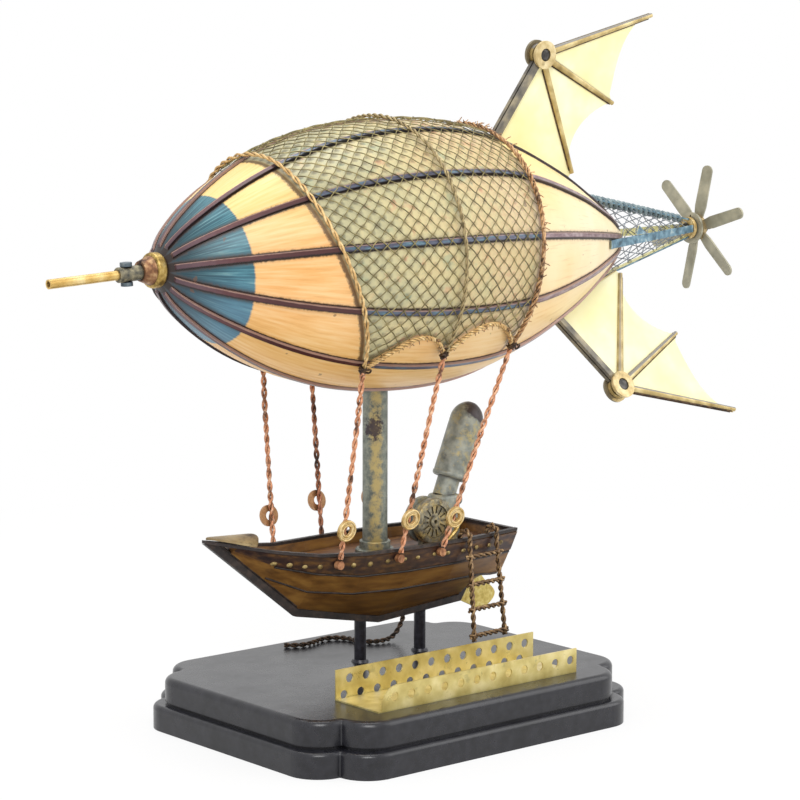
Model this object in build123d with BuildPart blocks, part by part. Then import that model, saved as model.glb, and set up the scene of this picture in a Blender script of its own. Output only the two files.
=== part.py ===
import os
from math import cos, radians, sin

from build123d import *

os.makedirs("parts", exist_ok=True)

# Frame: +X runs from nose to tail, -Y is the near side, +Z is up, in millimetres.
# The origin is the middle of the plinth's underside.

# Plinth
plinth_length = 140.0
plinth_width = 112.6
lobe_radius = 10.8
lower_tier_height = 8.2
upper_tier_height = 9.0
tier_step = 2.8
tier_groove_depth = 0.7
tier_groove_height = 1.0
lower_edge_round = 1.6
upper_edge_round = 2.2
valley_round = 0.5
plinth_top = lower_tier_height + upper_tier_height

# Centre plane of the ship, behind the middle of the plinth
ship_y = 13.1

# Boat: keel, planks and rim, each line as stations along X
shell_wall = 0.8
keel_plate_width = 1.8
keel_depth = 2.2
keel_seat = 0.12
stem_depth = 2.5
stem_top = (-67.6, 65.3)
forefoot = (-30.9, 36.6)
keel_lowest = (4.4, 29.7)
keel_heel = (41.6, 32.1)
sternpost_top = (48.0, 41.9)
counter_height = 42.1
transom_foot_x = 50.7
transom_head_x = 54.6
deck_height = 54.0
deck_thickness = 0.8
rim_height = 1.0
rim_slope = 0.225
rim_width = 1.7
rim_overhang = 0.1
band_thickness = 0.3
band_seat = 0.05
band_foot_share = 0.08
band_head_share = 0.96
foredeck_thickness = 0.7
foredeck_length = 19.0
foredeck_half_width = 7.2
foredeck_crown = 2.2
foredeck_droop = 0.05

# Posts between plinth and keel
post_radius = 2.0
post_stations = (-2.8, 23.6)
weld_radius = 3.0
weld_height = 0.9

# Rudder
rudder_thickness = 0.9
rudder_gap = 0.25
rudder_length = 16.0
rudder_drop = 3.8

# Mast
mast_x = 3.6
mast_radius = 4.2
mast_wall = 0.8
mast_flange_radius = 6.6
mast_flange_height = 1.4
mast_collar_radius = 5.2
mast_collar_height = 2.6

# Engine
engine_x = 24.4
engine_y = ship_y - 4.6
flywheel_radius = 7.9
flywheel_width = 2.6
flywheel_centre_height = 62.7
drum_radius = 6.6
drum_width = 3.0
flywheel_recess = 0.7
flywheel_rim = 2.1
flywheel_rim_round = 0.8
flywheel_dents = 14
dent_width = 0.7
dent_depth = 0.4
hub_boss_radius = 1.9
hub_bore_radius = 0.7
block_length = 9.0
block_width = 9.0
block_x = 34.2
block_top = 70.5
cylinder_lean = 22.0
cylinder_radius = 6.1
cylinder_length = 31.0
cylinder_neck_radius = 3.9
cylinder_neck_length = 6.5
cylinder_rim_round = 1.1
cylinder_crown_radius = 1.4
side_boss_radius = 1.9
side_boss_length = 2.6
side_boss_round = 1.0
oil_cap_radius = 1.1
oil_cap_height = 24.0
oil_cap_reach = 0.9
pipe_radius = 0.75
pipe_route = ((34.0, 6.0, 62.2), (33.2, 3.9, 61.4), (30.0, 2.2, 59.4), (25.6, 0.6, 57.5), (20.9, -0.9, 56.4))

# Envelope
axis_z = 153.6
envelope_wall = 0.8
nose_x = -84.0
nose_hole_radius = 3.2
tail_x = 114.0
envelope_profile = (
    (-73.0, 17.0),
    (-58.8, 26.8),
    (-30.4, 39.1),
    (8.0, 44.2),
    (40.6, 41.0),
    (69.0, 30.8),
    (83.2, 24.2),
    (97.3, 16.3),
    (106.5, 10.5),
    (111.4, 7.1),
)
nose_radius = 5.0
tail_radius = 3.4
rib_count = 12
rib_first_angle = 20.0
rib_width = 1.7
rib_height = 0.9
rib_seat = 0.05
rib_start = 1.2
rib_end = 4.0

# Nose fittings
ring_clearance = 0.05
nose_ring_radius = 5.6
nose_ring_length = 3.4
nose_ring_round = 0.9
nose_cone_length = 3.6
nose_cone_radius = 4.6
socket_radius = 2.4
socket_bore_radius = 1.55
socket_length = 8.4
socket_pin_radius = 0.8
pin_head_radius = 1.9
pin_head_height = 1.2
spear_radius = 1.5
spear_bore_radius = 1.0
spear_length = 31.0
spear_insert = 6.0
spear_droop = 3.0
nose_pin_setback = 3.4
nose_pin_clearance = 0.03

# Net over the envelope: the fine mesh is a thin skin, and its ropes are round.
# Each body rope has its station at the top, how far it sweeps aft, and its end angle.
net_skin = 0.25
net_skin_gap = 0.05
net_rope_radius = 1.0
net_rope_gap = 0.2
net_swag_radius = 0.8
net_front = (-47.5, 23.5, 141.0)
net_middle = (3.0, 0.0, 130.0)
net_rear = (42.6, -8.4, 131.0)
net_swag = 14.0

# Suspension ropes, rings and eyelets
rope_radius = 1.05
rope_feet = (-24.6, -2.0, 15.7)
far_rope_feet = (-27.6, -3.6, 18.7)
ring_outer_radius = 3.6
ring_hole_radius = 1.5
ring_thickness = 0.9
ring_heights = (67.4, 69.2, 67.6)
eyelet_radius = 1.4
eyelet_length = 1.9
eyelet_height = 55.3

# Ladder
rail_radius = 0.85
rung_radius = 0.75
ladder_clearance = 0.4
rail_tops = (28.4, 42.0)
rail_feet = (30.7, 46.2)
rail_foot_height = 22.6
rung_heights = (51.8, 42.2, 33.6, 24.4)

# Perforated channel
channel_length = 85.4
channel_width = 21.4
channel_x = -0.1
channel_y = -33.5
sheet_thickness = 0.5
back_wall_height = 9.9
front_wall_height = 8.1
front_wall_setback = 1.6
front_corner_radius = 6.4
hole_radius = 1.45
hole_pitch = 6.9
hole_count = 12
hole_first_x = -36.1
front_row_height = 4.4
back_row_heights = (1.5, 6.6)
back_row_shifts = (-3.4, -1.1)

# Tail boom and propeller
boom_root_x = 99.0
boom_end_x = 152.0
boom_root_radius = 15.6
boom_end_radius = 3.2
boom_lift = 2.3
boom_strip_width = 3.0
boom_seat = 0.25
boom_foot = 4.0
boom_strip_thickness = 0.6
boom_mesh_radius = 0.22
boom_mesh_count = 11
boom_mesh_draw = 0.82
boom_plate_radius = 4.0
boom_plate_length = 1.4
tail_pin_radius = 1.0
tail_pin_length = 13.0
running_clearance = 0.05
propeller_gap = 0.6
propeller_hub_radius = 2.6
propeller_hub_length = 5.4
propeller_face_radius = 5.7
face_notch_radius = 1.1
face_notch_place = 3.9
propeller_face_thickness = 0.9
propeller_ring_radius = 4.4
propeller_ring_thickness = 0.8
blade_count = 6
blade_first_angle = -13.0
blade_length = 23.4
blade_width = 4.6
blade_thickness = 0.7
blade_pitch = 10.0
nut_radius = 1.9
nut_length = 2.0

# Bat wings, drawn in a plane through the envelope's axis: along X, and out from the axis
wing_root = (53.0, 37.0)
wing_joint = (72.8, 65.9)
wing_tips = ((125.0, 79.5), (108.6, 48.7), (91.0, 24.6))
wing_scallops = (
    ((118.5, 77.0), (111.4, 67.5), (108.6, 58.5), (107.2, 51.8)),
    ((105.5, 48.3), (95.4, 42.8), (91.0, 37.6), (89.3, 29.5)),
)
upper_wing_angle = 4.5
lower_wing_angle = 153.2
lower_wing_shift = (20.6, -11.2)
membrane_thickness = 0.5
finger_height = 1.4
finger_root_width = 2.6
finger_tip_width = 1.5
arm_width = 2.2
arm_height = 1.3
washer_radius = 4.8
washer_hole_radius = 2.2
washer_thickness = 1.0
wing_screw_radius = 1.0
wing_screw_head_radius = 1.9
wing_seat = 0.05

# Anchor rope: it hangs from the far rim and lies on the plinth
anchor_rope_radius = 0.9
anchor_route = (
    (37.0, 33.6, 54.6),
    (36.6, 34.3, 46.0),
    (35.6, 33.6, 36.0),
    (32.6, 31.4, 25.0),
    (26.0, 29.2, 18.5),
    (18.6, 28.4, 18.1),
    (13.4, 33.0, 18.1),
    (14.0, 40.4, 18.1),
    (8.0, 45.0, 18.1),
    (0.6, 42.0, 18.1),
    (-5.6, 41.0, 18.1),
    (-10.0, 45.2, 18.1),
)


def station(x, height):
    """A point of a line drawn along the keel, in the ship's centre plane."""
    return (x, ship_y, height)


centre_plane = Plane(origin=(0, ship_y, 0), x_dir=(1, 0, 0), z_dir=(0, -1, 0))
envelope_axis = Axis((0, ship_y, axis_z), (1, 0, 0))


def axial_plane(angle):
    """A plane through the envelope's axis, at an angle from the top towards the near side."""
    turn = radians(angle)
    return Plane(
        origin=(0, ship_y, axis_z), x_dir=(1, 0, 0), z_dir=(0, -cos(turn), -sin(turn))
    )


def rod_through(points, radius, sides=8):
    """A faceted rod through the given points, mitred at each of them."""
    spots = [Vector(*point) for point in points]
    side = None
    with BuildPart(mode=Mode.PRIVATE) as rod:
        for index, spot in enumerate(spots):
            before = spots[max(index - 1, 0)]
            after = spots[min(index + 1, len(spots) - 1)]
            along = (after - before).normalized()
            if side is None:
                side = along.cross(Vector(0, 0, 1) if abs(along.Z) < 0.9 else Vector(1, 0, 0))
            side = (side - along * side.dot(along)).normalized()
            with BuildSketch(Plane(origin=spot, x_dir=side, z_dir=along)):
                RegularPolygon(radius, sides)
        loft(ruled=True)
    return rod.part


def group(pieces, label):
    """Separate solids that share one node."""
    solids = [solid for piece in pieces for solid in piece.solids()]
    return Compound(children=solids, label=label)


def write(piece, label):
    """Name a finished piece and write it."""
    piece.label = label
    export_step(piece, f"parts/{label}.step")


# Plinth


def plinth_outline(inset):
    """A rectangle whose corners are two quarter lobes with a valley between them."""
    end = plinth_length / 2 - inset
    side = plinth_width / 2 - inset
    bulge = lobe_radius * cos(radians(45))
    with BuildLine() as outline:
        Line((end, 0), (end, side - 2 * lobe_radius))
        ThreePointArc(
            (end, side - 2 * lobe_radius),
            (end - lobe_radius + bulge, side - 2 * lobe_radius + bulge),
            (end - lobe_radius, side - lobe_radius),
        )
        ThreePointArc(
            (end - lobe_radius, side - lobe_radius),
            (end - 2 * lobe_radius + bulge, side - lobe_radius + bulge),
            (end - 2 * lobe_radius, side),
        )
        Line((end - 2 * lobe_radius, side), (0, side))
        mirror(about=Plane.XZ)
        mirror(about=Plane.YZ)
    make_face(outline.edges())


def plinth_tier(height, inset, edge_round):
    """One tier on its own, with its valleys eased and its top edge rounded."""
    valley = (plinth_length / 2 - inset - lobe_radius, plinth_width / 2 - inset - lobe_radius)
    with BuildPart(mode=Mode.PRIVATE) as tier:
        with BuildSketch(Plane.XY) as outline:
            plinth_outline(inset)
        extrude(amount=height)
        creases = [
            edge
            for edge in tier.edges().filter_by(Axis.Z)
            if abs(abs(edge.center().X) - valley[0]) + abs(abs(edge.center().Y) - valley[1]) < 0.01
        ]
        fillet(creases, valley_round)
        fillet(tier.faces().sort_by(Axis.Z)[-1].outer_wire().edges(), edge_round)
    return tier.part


with BuildPart() as plinth:
    add(plinth_tier(lower_tier_height, 0, lower_edge_round))
    with BuildSketch(Plane.XY.offset(lower_tier_height)):
        plinth_outline(tier_step + tier_groove_depth)
    extrude(amount=tier_groove_height)
    with Locations((0, 0, lower_tier_height + tier_groove_height)):
        add(plinth_tier(upper_tier_height - tier_groove_height, tier_step, upper_edge_round))
write(plinth.part, "plinth")

# Each station of the boat gives x, then half width and height of keel line, lower plank, upper plank and rim
half_keel = keel_plate_width / 2
hull_stations = (
    (-57.6, (half_keel, 60.8), (1.4, 61.2), (2.6, 62.0), (4.6, 63.2)),
    (-44.4, (half_keel, 50.45), (2.0, 51.6), (6.8, 55.8), (9.2, 60.4)),
    (-30.0, (half_keel, 39.2), (5.6, 45.6), (11.2, 52.3), (13.4, 58.2)),
    (-14.6, (half_keel, 35.8), (10.0, 43.6), (15.0, 50.2), (17.3, 57.4)),
    (4.4, (half_keel, 32.0), (12.0, 43.0), (16.4, 49.8), (18.7, 57.3)),
    (25.0, (half_keel, 33.3), (12.2, 43.2), (16.6, 49.9), (18.9, 57.3)),
    (40.4, (half_keel, 34.6), (11.3, 43.2), (15.0, 50.0), (17.3, 57.2)),
    (45.7, (half_keel, counter_height), (11.0, 42.6), (14.2, 50.0), (16.5, 57.2)),
    (57.0, (half_keel, counter_height), (10.4, 42.6), (12.6, 50.0), (14.7, 57.2)),
)

# Keel, stem and sternpost: one flat plate on edge in the centre plane


slope = Vector(forefoot[0] - stem_top[0], forefoot[1] - stem_top[1]).normalized()
inward = Vector(-slope.Y, slope.X)
stem_inner_foot = Vector(*forefoot) + inward * stem_depth
inner_run = (stem_inner_foot.Y - stem_top[1]) / slope.Y
level_hit = stem_inner_foot - slope * inner_run
sink = (level_hit.X - stem_top[0]) * rim_slope / (1 + rim_slope * slope.X / slope.Y)
stem_inner_top = level_hit + slope * (-sink / slope.Y)

with BuildPart() as keel:
    with BuildSketch(centre_plane):
        with BuildLine():
            Polyline(
                stem_top,
                forefoot,
                keel_lowest,
                keel_heel,
                sternpost_top,
                (sternpost_top[0] - keel_depth, sternpost_top[1]),
                (keel_heel[0] - keel_depth / 2, keel_heel[1] + keel_depth),
                (keel_lowest[0], keel_lowest[1] + keel_depth),
                *[(x, corners[0][1] - keel_seat) for x, *corners in reversed(hull_stations[2:4])],
                (stem_inner_top.X, stem_inner_top.Y),
                close=True,
            )
        make_face()
    extrude(amount=keel_plate_width / 2, both=True)
write(keel.part, "keel_and_stem")

# Hull shell: half sections from keel to rim, lofted with straight planks between them


def hull_section(x, corners, inset, rise):
    """One closed cross-section of the boat, drawn on a plane across the keel."""
    halves = [(width - inset, height + inset * 0.6) for width, height in corners[:-1]]
    rim_half, rim_top = corners[-1]
    halves.append((rim_half - inset, rim_top + rise))
    outline = halves + [(-width, height) for width, height in reversed(halves)]
    with BuildSketch(Plane(origin=(x, ship_y, 0), x_dir=(0, 1, 0), z_dir=(1, 0, 0))) as section:
        with BuildLine():
            Polyline(*outline, close=True)
        make_face()
    return section.sketch


transom_plane = Plane(
    origin=(transom_head_x, ship_y, hull_stations[-1][-1][1]),
    x_dir=(0, 1, 0),
    z_dir=(hull_stations[-1][-1][1] - counter_height, 0, transom_foot_x - transom_head_x),
)

with BuildPart() as hull_outside:
    loft([hull_section(x, corners, 0, 0) for x, *corners in hull_stations], ruled=True)
    split(bisect_by=transom_plane, keep=Keep.BOTTOM)

inside_plane = transom_plane.offset(-shell_wall)
inner_sections = []
for x, *corners in hull_stations[1:]:
    inner = [(max(width, half_keel + shell_wall + 0.1), height + shell_wall) for width, height in corners[:-1]]
    inner_sections.append(hull_section(x, inner + [corners[-1]], shell_wall, 6.0))
with BuildPart() as hull_inside:
    loft(inner_sections, ruled=True)
    split(bisect_by=inside_plane, keep=Keep.BOTTOM)

with BuildPart() as hull:
    add(hull_outside.part)
    add(hull_inside.part, mode=Mode.SUBTRACT)
write(hull.part, "hull_shell")

with BuildPart() as deck:
    with BuildSketch(Plane.XY.offset(deck_height - deck_thickness)):
        Rectangle(2 * plinth_length, plinth_width)
    extrude(amount=deck_thickness)
    add(hull_inside.part, mode=Mode.INTERSECT)
write(deck.part, "deck")


def side_strip(side, corner_pairs, label):
    """A strip along one side of the boat, lofted through a small section at each station."""
    with BuildPart(mode=Mode.PRIVATE) as strip:
        for x, outline in corner_pairs:
            with BuildSketch(Plane(origin=(x, ship_y, 0), x_dir=(0, 1, 0), z_dir=(1, 0, 0))):
                with BuildLine():
                    Polyline(*[(side * width, height) for width, height in outline], close=True)
                make_face()
        loft(ruled=True)
        split(bisect_by=transom_plane, keep=Keep.BOTTOM)
    return strip.part


def rim_outline(half, height):
    """The rim's section: it caps the plank edge and stands out a little."""
    outer = half + rim_overhang
    return [
        (outer - rim_width, height),
        (outer, height),
        (outer, height + rim_height),
        (outer - rim_width, height + rim_height),
    ]


bow_base = stem_top[1] + 0.08
bow_tip = (stem_top[0] + 0.2, [
    (0.05, bow_base),
    (half_keel + 0.1, bow_base),
    (half_keel + 0.1, bow_base + rim_height),
    (0.05, bow_base + rim_height),
])
rim_sections = [bow_tip] + [(x, rim_outline(*corners[-1])) for x, *corners in hull_stations]
transom_half, transom_top = hull_stations[-1][-1]
with BuildPart() as transom_rim:
    with BuildSketch(Plane.XY.offset(transom_top)):
        with Locations((transom_head_x - rim_width / 2, ship_y)):
            Rectangle(rim_width, 2 * (transom_half + rim_overhang - rim_width))
    extrude(amount=rim_height)
rim = group(
    [side_strip(side, rim_sections, "rim") for side in (-1, 1)] + [transom_rim.part], "rim"
)
write(rim, "gunwale_rim")


def band_outline(corners):
    """The stud band's section: a thin strip that lies on the top plank."""
    (low_half, low), (top_half, top) = corners[-2], corners[-1]
    foot, head = (
        (low_half + (top_half - low_half) * share + band_seat, low + (top - low) * share)
        for share in (band_foot_share, band_head_share)
    )
    return [
        foot,
        (foot[0] + band_thickness, foot[1]),
        (head[0] + band_thickness, head[1]),
        head,
    ]


band_sections = [(x, band_outline(corners)) for x, *corners in hull_stations]
band = group([side_strip(side, band_sections, "band") for side in (-1, 1)], "band")
write(band, "stud_band")

tip = Vector(stem_top[0] + 1.0, ship_y, bow_base + rim_height + 0.05)
crown_radius = (foredeck_half_width**2 + foredeck_crown**2) / (2 * foredeck_crown)
deck_slope = Vector(1, 0, -foredeck_droop).normalized()
foredeck_plane = Plane(origin=tip, x_dir=deck_slope, z_dir=deck_slope.cross(Vector(0, 1, 0)))
with BuildPart() as foredeck:
    with BuildSketch(foredeck_plane.offset(-2 * foredeck_crown)):
        with BuildLine():
            shoulder = foredeck_length - 4.0
            near_arc = ThreePointArc(
                (0, 0), (foredeck_length * 0.42, -foredeck_half_width * 0.7), (shoulder, -foredeck_half_width)
            )
            end_arc = ThreePointArc(near_arc @ 1, (foredeck_length, 0), (shoulder, foredeck_half_width))
            ThreePointArc(end_arc @ 1, (foredeck_length * 0.42, foredeck_half_width * 0.7), near_arc @ 0)
        make_face()
    extrude(amount=4 * foredeck_crown)
    with BuildSketch(Plane(origin=tip, x_dir=(0, 1, 0), z_dir=deck_slope)):
        with Locations((0, foredeck_thickness - crown_radius)):
            Circle(crown_radius)
            Circle(crown_radius - foredeck_thickness, mode=Mode.SUBTRACT)
    extrude(amount=foredeck_length, mode=Mode.INTERSECT)
write(foredeck.part, "foredeck")

# Posts, each with a weld bead at its foot
keel_rise = (keel_heel[1] - keel_lowest[1]) / (keel_heel[0] - keel_lowest[0])
keel_fall = (keel_lowest[1] - forefoot[1]) / (keel_lowest[0] - forefoot[0])


def keel_plane(x):
    """The underside of the keel at a station, as a plane that faces up."""
    slope = keel_rise if x > keel_lowest[0] else keel_fall
    height = keel_lowest[1] + slope * (x - keel_lowest[0])
    return Plane(origin=station(x, height), x_dir=(0, 1, 0), z_dir=(-slope, 0, 1))


for x, label in zip(post_stations, ("front_post", "rear_post")):
    with BuildPart() as post:
        with BuildSketch(Plane.XY.offset(plinth_top)):
            with Locations((x, ship_y)):
                Circle(post_radius)
        extrude(amount=2 * (keel_lowest[1] - plinth_top))
        split(bisect_by=keel_plane(x), keep=Keep.BOTTOM)
        with BuildSketch(Plane.XY.offset(plinth_top)):
            with Locations((x, ship_y)):
                Circle(weld_radius)
        extrude(amount=weld_height, taper=30)
    write(post.part, label)

# Rudder: a flat plate behind the sternpost, with a rounded trailing edge
with BuildPart() as rudder:
    stern_front = (keel_heel[0] + rudder_gap, keel_heel[1])
    stern_top = (sternpost_top[0] + rudder_gap + 0.3, sternpost_top[1])
    with BuildSketch(centre_plane):
        with BuildLine():
            leading = Polyline(
                (stern_front[0] + 8.0, stern_front[1] - rudder_drop),
                stern_front,
                stern_top,
                (stern_top[0], counter_height),
                (stern_top[0] + 2.6, counter_height),
            )
            Spline(
                leading @ 1,
                (stern_front[0] + rudder_length * 0.72, sternpost_top[1] - 4.2),
                (stern_front[0] + rudder_length, keel_heel[1] + 0.4),
                (stern_front[0] + rudder_length * 0.8, stern_front[1] - rudder_drop * 0.8),
                leading @ 0,
            )
        make_face()
    extrude(amount=rudder_thickness / 2, both=True)
write(rudder.part, "rudder")

# Mast: an open tube that carries the envelope, on a stepped flange
with BuildPart() as mast:
    mast_foot = deck_height + mast_flange_height
    with BuildSketch(Plane.XY.offset(mast_foot)):
        with Locations((mast_x, ship_y)):
            Circle(mast_radius)
            Circle(mast_radius - mast_wall, mode=Mode.SUBTRACT)
    extrude(amount=axis_z - mast_foot)

with BuildPart() as flange:
    with BuildSketch(Plane(origin=(mast_x, ship_y, deck_height), x_dir=(1, 0, 0), z_dir=(0, -1, 0))):
        with BuildLine():
            Polyline(
                (0, 0),
                (mast_flange_radius, 0),
                (mast_flange_radius, mast_flange_height * 0.7),
                (mast_flange_radius - 0.4, mast_flange_height),
                (0, mast_flange_height),
                close=True,
            )
        make_face()
    revolve(axis=Axis((mast_x, ship_y, deck_height), (0, 0, 1)))
    with BuildSketch(Plane.XY.offset(mast_foot)):
        with Locations((mast_x, ship_y)):
            Circle(mast_collar_radius)
            Circle(mast_radius + ring_clearance, mode=Mode.SUBTRACT)
    extrude(amount=mast_collar_height)
    fillet(flange.faces().sort_by(Axis.Z)[-1].outer_wire().edges(), 0.4)
write(flange.part, "mast_flange")

# Engine: block and drum, flywheel, leaning cylinder and pipe
with BuildPart() as engine:
    with BuildSketch(Plane.XY.offset(deck_height)):
        with Locations((block_x, ship_y)):
            RectangleRounded(block_length, block_width, 2.0)
    extrude(amount=block_top - deck_height)
    fillet(engine.faces().sort_by(Axis.Z)[-1].outer_wire().edges(), 1.5)
    drum_centre = (engine_x, engine_y, flywheel_centre_height)
    with BuildSketch(Plane(origin=drum_centre, x_dir=(1, 0, 0), z_dir=(0, 1, 0))):
        Circle(drum_radius)
    extrude(amount=drum_width)
    with BuildSketch(Plane(origin=(engine_x, engine_y + drum_width, flywheel_centre_height),
                           x_dir=(1, 0, 0), z_dir=(0, 1, 0))):
        Circle(flywheel_radius)
    extrude(amount=flywheel_width * 0.7)
    with BuildSketch(Plane.XY.offset(deck_height)):
        with Locations(((engine_x + block_x) / 2, engine_y + drum_width / 2)):
            Rectangle(block_x - engine_x + drum_radius, drum_width - 0.6)
    extrude(amount=3.0)
    boss_axis = Plane(
        origin=(block_x + block_length / 2 - 0.5, ship_y - 1.0, block_top - side_boss_radius - 0.7),
        x_dir=(0, 1, 0),
        z_dir=(1, 0, 0),
    )
    with BuildSketch(boss_axis):
        Circle(side_boss_radius)
    extrude(amount=side_boss_length)
    fillet(engine.faces().sort_by(Axis.X)[-1].edges(), side_boss_round)
write(engine.part, "engine_block")

with BuildPart() as flywheel:
    face = Plane(origin=(engine_x, engine_y, flywheel_centre_height), x_dir=(1, 0, 0), z_dir=(0, -1, 0))
    with BuildSketch(face):
        Circle(flywheel_radius)
    extrude(amount=flywheel_width)
    with BuildSketch(face.offset(flywheel_width)):
        Circle(flywheel_radius - flywheel_rim)
        Circle(hub_boss_radius, mode=Mode.SUBTRACT)
    extrude(amount=-flywheel_recess, mode=Mode.SUBTRACT)
    with BuildSketch(face.offset(flywheel_width)):
        Circle(hub_bore_radius)
    extrude(amount=-flywheel_recess * 2, mode=Mode.SUBTRACT)
    dent_start = hub_boss_radius + 0.8
    dent_length = flywheel_radius - flywheel_rim - 0.5 - dent_start
    with BuildSketch(face.offset(flywheel_width - flywheel_recess)):
        with PolarLocations(dent_start + dent_length / 2, flywheel_dents):
            SlotOverall(dent_length, dent_width)
    extrude(amount=-dent_depth, mode=Mode.SUBTRACT)
    fillet(flywheel.faces().sort_by(Axis.Y)[0].outer_wire().edges(), flywheel_rim_round)
write(flywheel.part, "engine_flywheel")

lean = radians(cylinder_lean)
cylinder_foot = Plane(
    origin=station(block_x, block_top - 1.0), x_dir=(cos(lean), 0, -sin(lean)), z_dir=(sin(lean), 0, cos(lean))
)
with BuildPart() as cylinder:
    side = Plane(cylinder_foot.origin, x_dir=cylinder_foot.x_dir, z_dir=(0, -1, 0))
    shoulder = cylinder_neck_length + cylinder_rim_round
    dome = cylinder_length - cylinder_radius * 1.1
    with BuildSketch(side):
        with BuildLine():
            bottom = Line((0, 0), (cylinder_neck_radius, 0))
            neck = Line(bottom @ 1, (cylinder_neck_radius, cylinder_neck_length))
            lip = Line(neck @ 1, (cylinder_radius - cylinder_rim_round * 0.5, cylinder_neck_length))
            edge = ThreePointArc(
                lip @ 1,
                (cylinder_radius, cylinder_neck_length + cylinder_rim_round * 0.8),
                (cylinder_radius - 0.2, shoulder + 0.6),
            )
            wall = Line(edge @ 1, (cylinder_radius * 0.94, dome + cylinder_neck_length * 0.5))
            crown = (cylinder_crown_radius, cylinder_length + cylinder_neck_length * 0.4)
            top = TangentArc(wall @ 1, crown, tangent=(-0.04, 1))
            Polyline(top @ 1, (0, crown[1]), bottom @ 0)
        make_face()
    revolve(axis=Axis(cylinder_foot.origin, cylinder_foot.z_dir))
    cap_foot = cylinder_foot.origin + cylinder_foot.z_dir * (cylinder_neck_length + oil_cap_height * 0.8)
    with BuildSketch(Plane(origin=cap_foot, x_dir=(0, 1, 0), z_dir=cylinder_foot.x_dir)):
        Circle(oil_cap_radius)
    extrude(amount=cylinder_radius + oil_cap_reach)
    with BuildSketch(Plane.XY.offset(block_top)):
        Rectangle(plinth_length, plinth_width)
    extrude(amount=-block_top, mode=Mode.SUBTRACT)
write(cylinder.part, "engine_cylinder")

pipe_face = ship_y - block_width / 2 - 0.05
pipe = rod_through(
    [(pipe_route[0][0], pipe_face, pipe_route[0][2]), *pipe_route], pipe_radius
)
write(pipe, "engine_pipe")

# Envelope: a shell of revolution with an open nose and tail that its fittings cover


def profile_points(rise):
    """The envelope's side line, raised by a little all along."""
    line = [(nose_x, nose_radius)] + list(envelope_profile) + [(tail_x, tail_radius)]
    return [(x, radius + rise) for x, radius in line]


nose_slope = (0.55, 1.0)
tail_slope = (0.5, -1.0)

with BuildPart() as envelope_outside:
    with BuildSketch(axial_plane(0)):
        with BuildLine():
            outer = Spline(*profile_points(0), tangents=(nose_slope, tail_slope))
            Polyline(outer @ 1, (tail_x, 0), (nose_x, 0), outer @ 0)
        make_face()
    revolve(axis=envelope_axis)

with BuildPart() as envelope:
    with BuildSketch(axial_plane(0)):
        with BuildLine():
            outer = Spline(*profile_points(0), tangents=(nose_slope, tail_slope))
            inner = Spline(*profile_points(-envelope_wall), tangents=(nose_slope, tail_slope))
            Line(outer @ 0, inner @ 0)
            Line(outer @ 1, inner @ 1)
        make_face()
    revolve(axis=envelope_axis)
    with BuildSketch(Plane(origin=station(nose_x, axis_z), x_dir=(0, 1, 0), z_dir=(1, 0, 0))):
        Circle(nose_radius - 0.1)
        Circle(nose_hole_radius, mode=Mode.SUBTRACT)
    extrude(amount=envelope_wall)
    with BuildSketch(Plane(origin=station(tail_x, axis_z), x_dir=(0, 1, 0), z_dir=(-1, 0, 0))):
        Circle(tail_radius - 0.1)
    extrude(amount=envelope_wall)
write(envelope.part, "envelope_shell")

# The mast ends under the envelope: the shell's outside trims it
with BuildPart() as mast_tube:
    add(mast.part)
    add(envelope_outside.part, mode=Mode.SUBTRACT)
write(mast_tube.part.solids().sort_by(Axis.Z)[0], "mast_tube")


def envelope_rib(angle):
    """One raised strip that follows the envelope from nose ring to tail."""
    with BuildPart(mode=Mode.PRIVATE) as rib:
        with BuildSketch(axial_plane(angle)):
            with BuildLine():
                low = Spline(*profile_points(rib_seat), tangents=(nose_slope, tail_slope))
                high = Spline(*profile_points(rib_seat + rib_height), tangents=(nose_slope, tail_slope))
                Line(low @ 0, high @ 0)
                Line(low @ 1, high @ 1)
            make_face()
            with Locations((nose_x + rib_start, 0)):
                Rectangle(2 * nose_radius, 4 * nose_radius, align=(Align.MAX, Align.CENTER), mode=Mode.SUBTRACT)
            with Locations((tail_x, 0)):
                Rectangle(2 * rib_end, 4 * (tail_radius + rib_end), mode=Mode.SUBTRACT)
        extrude(amount=rib_width / 2, both=True)
    return rib.part


ribs = group([envelope_rib(rib_first_angle + index * 360 / rib_count) for index in range(rib_count)], "ribs")
write(ribs, "envelope_ribs")

side_line = Spline(*profile_points(0), tangents=(nose_slope, tail_slope))


def envelope_radius(x):
    """The envelope's radius at a station."""
    low, high = 0.0, 1.0
    for _ in range(24):
        middle = (low + high) / 2
        low, high = (middle, high) if (side_line @ middle).X < x else (low, middle)
    return (side_line @ low).Y


def over_envelope(x, angle, rise):
    """A point above the envelope's surface, at an angle from the top towards the near side."""
    radius = envelope_radius(x) + rise
    turn = radians(angle)
    return (x, ship_y - radius * sin(turn), axis_z + radius * cos(turn))


# Nose: ring, cone, socket, cross pin and hollow spear, which droops a little
droop = radians(spear_droop)
nose_seat = nose_x - ring_clearance
spear_axis = Plane(
    origin=station(nose_seat, axis_z), x_dir=(0, 1, 0), z_dir=(-cos(droop), 0, -sin(droop))
)
socket_end = nose_ring_length + nose_cone_length + socket_length
pin_place = socket_end - nose_pin_setback

with BuildPart() as socket_space:
    with BuildSketch(spear_axis.offset(-nose_ring_length)):
        Circle(socket_radius + ring_clearance)
    extrude(amount=socket_end + nose_ring_length)

with BuildPart() as pin_space:
    with BuildSketch(Plane(origin=spear_axis.origin + spear_axis.z_dir * pin_place,
                           x_dir=(0, 1, 0), z_dir=(sin(droop), 0, -cos(droop)))):
        Circle(socket_pin_radius + nose_pin_clearance)
    extrude(amount=2 * socket_radius, both=True)

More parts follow.
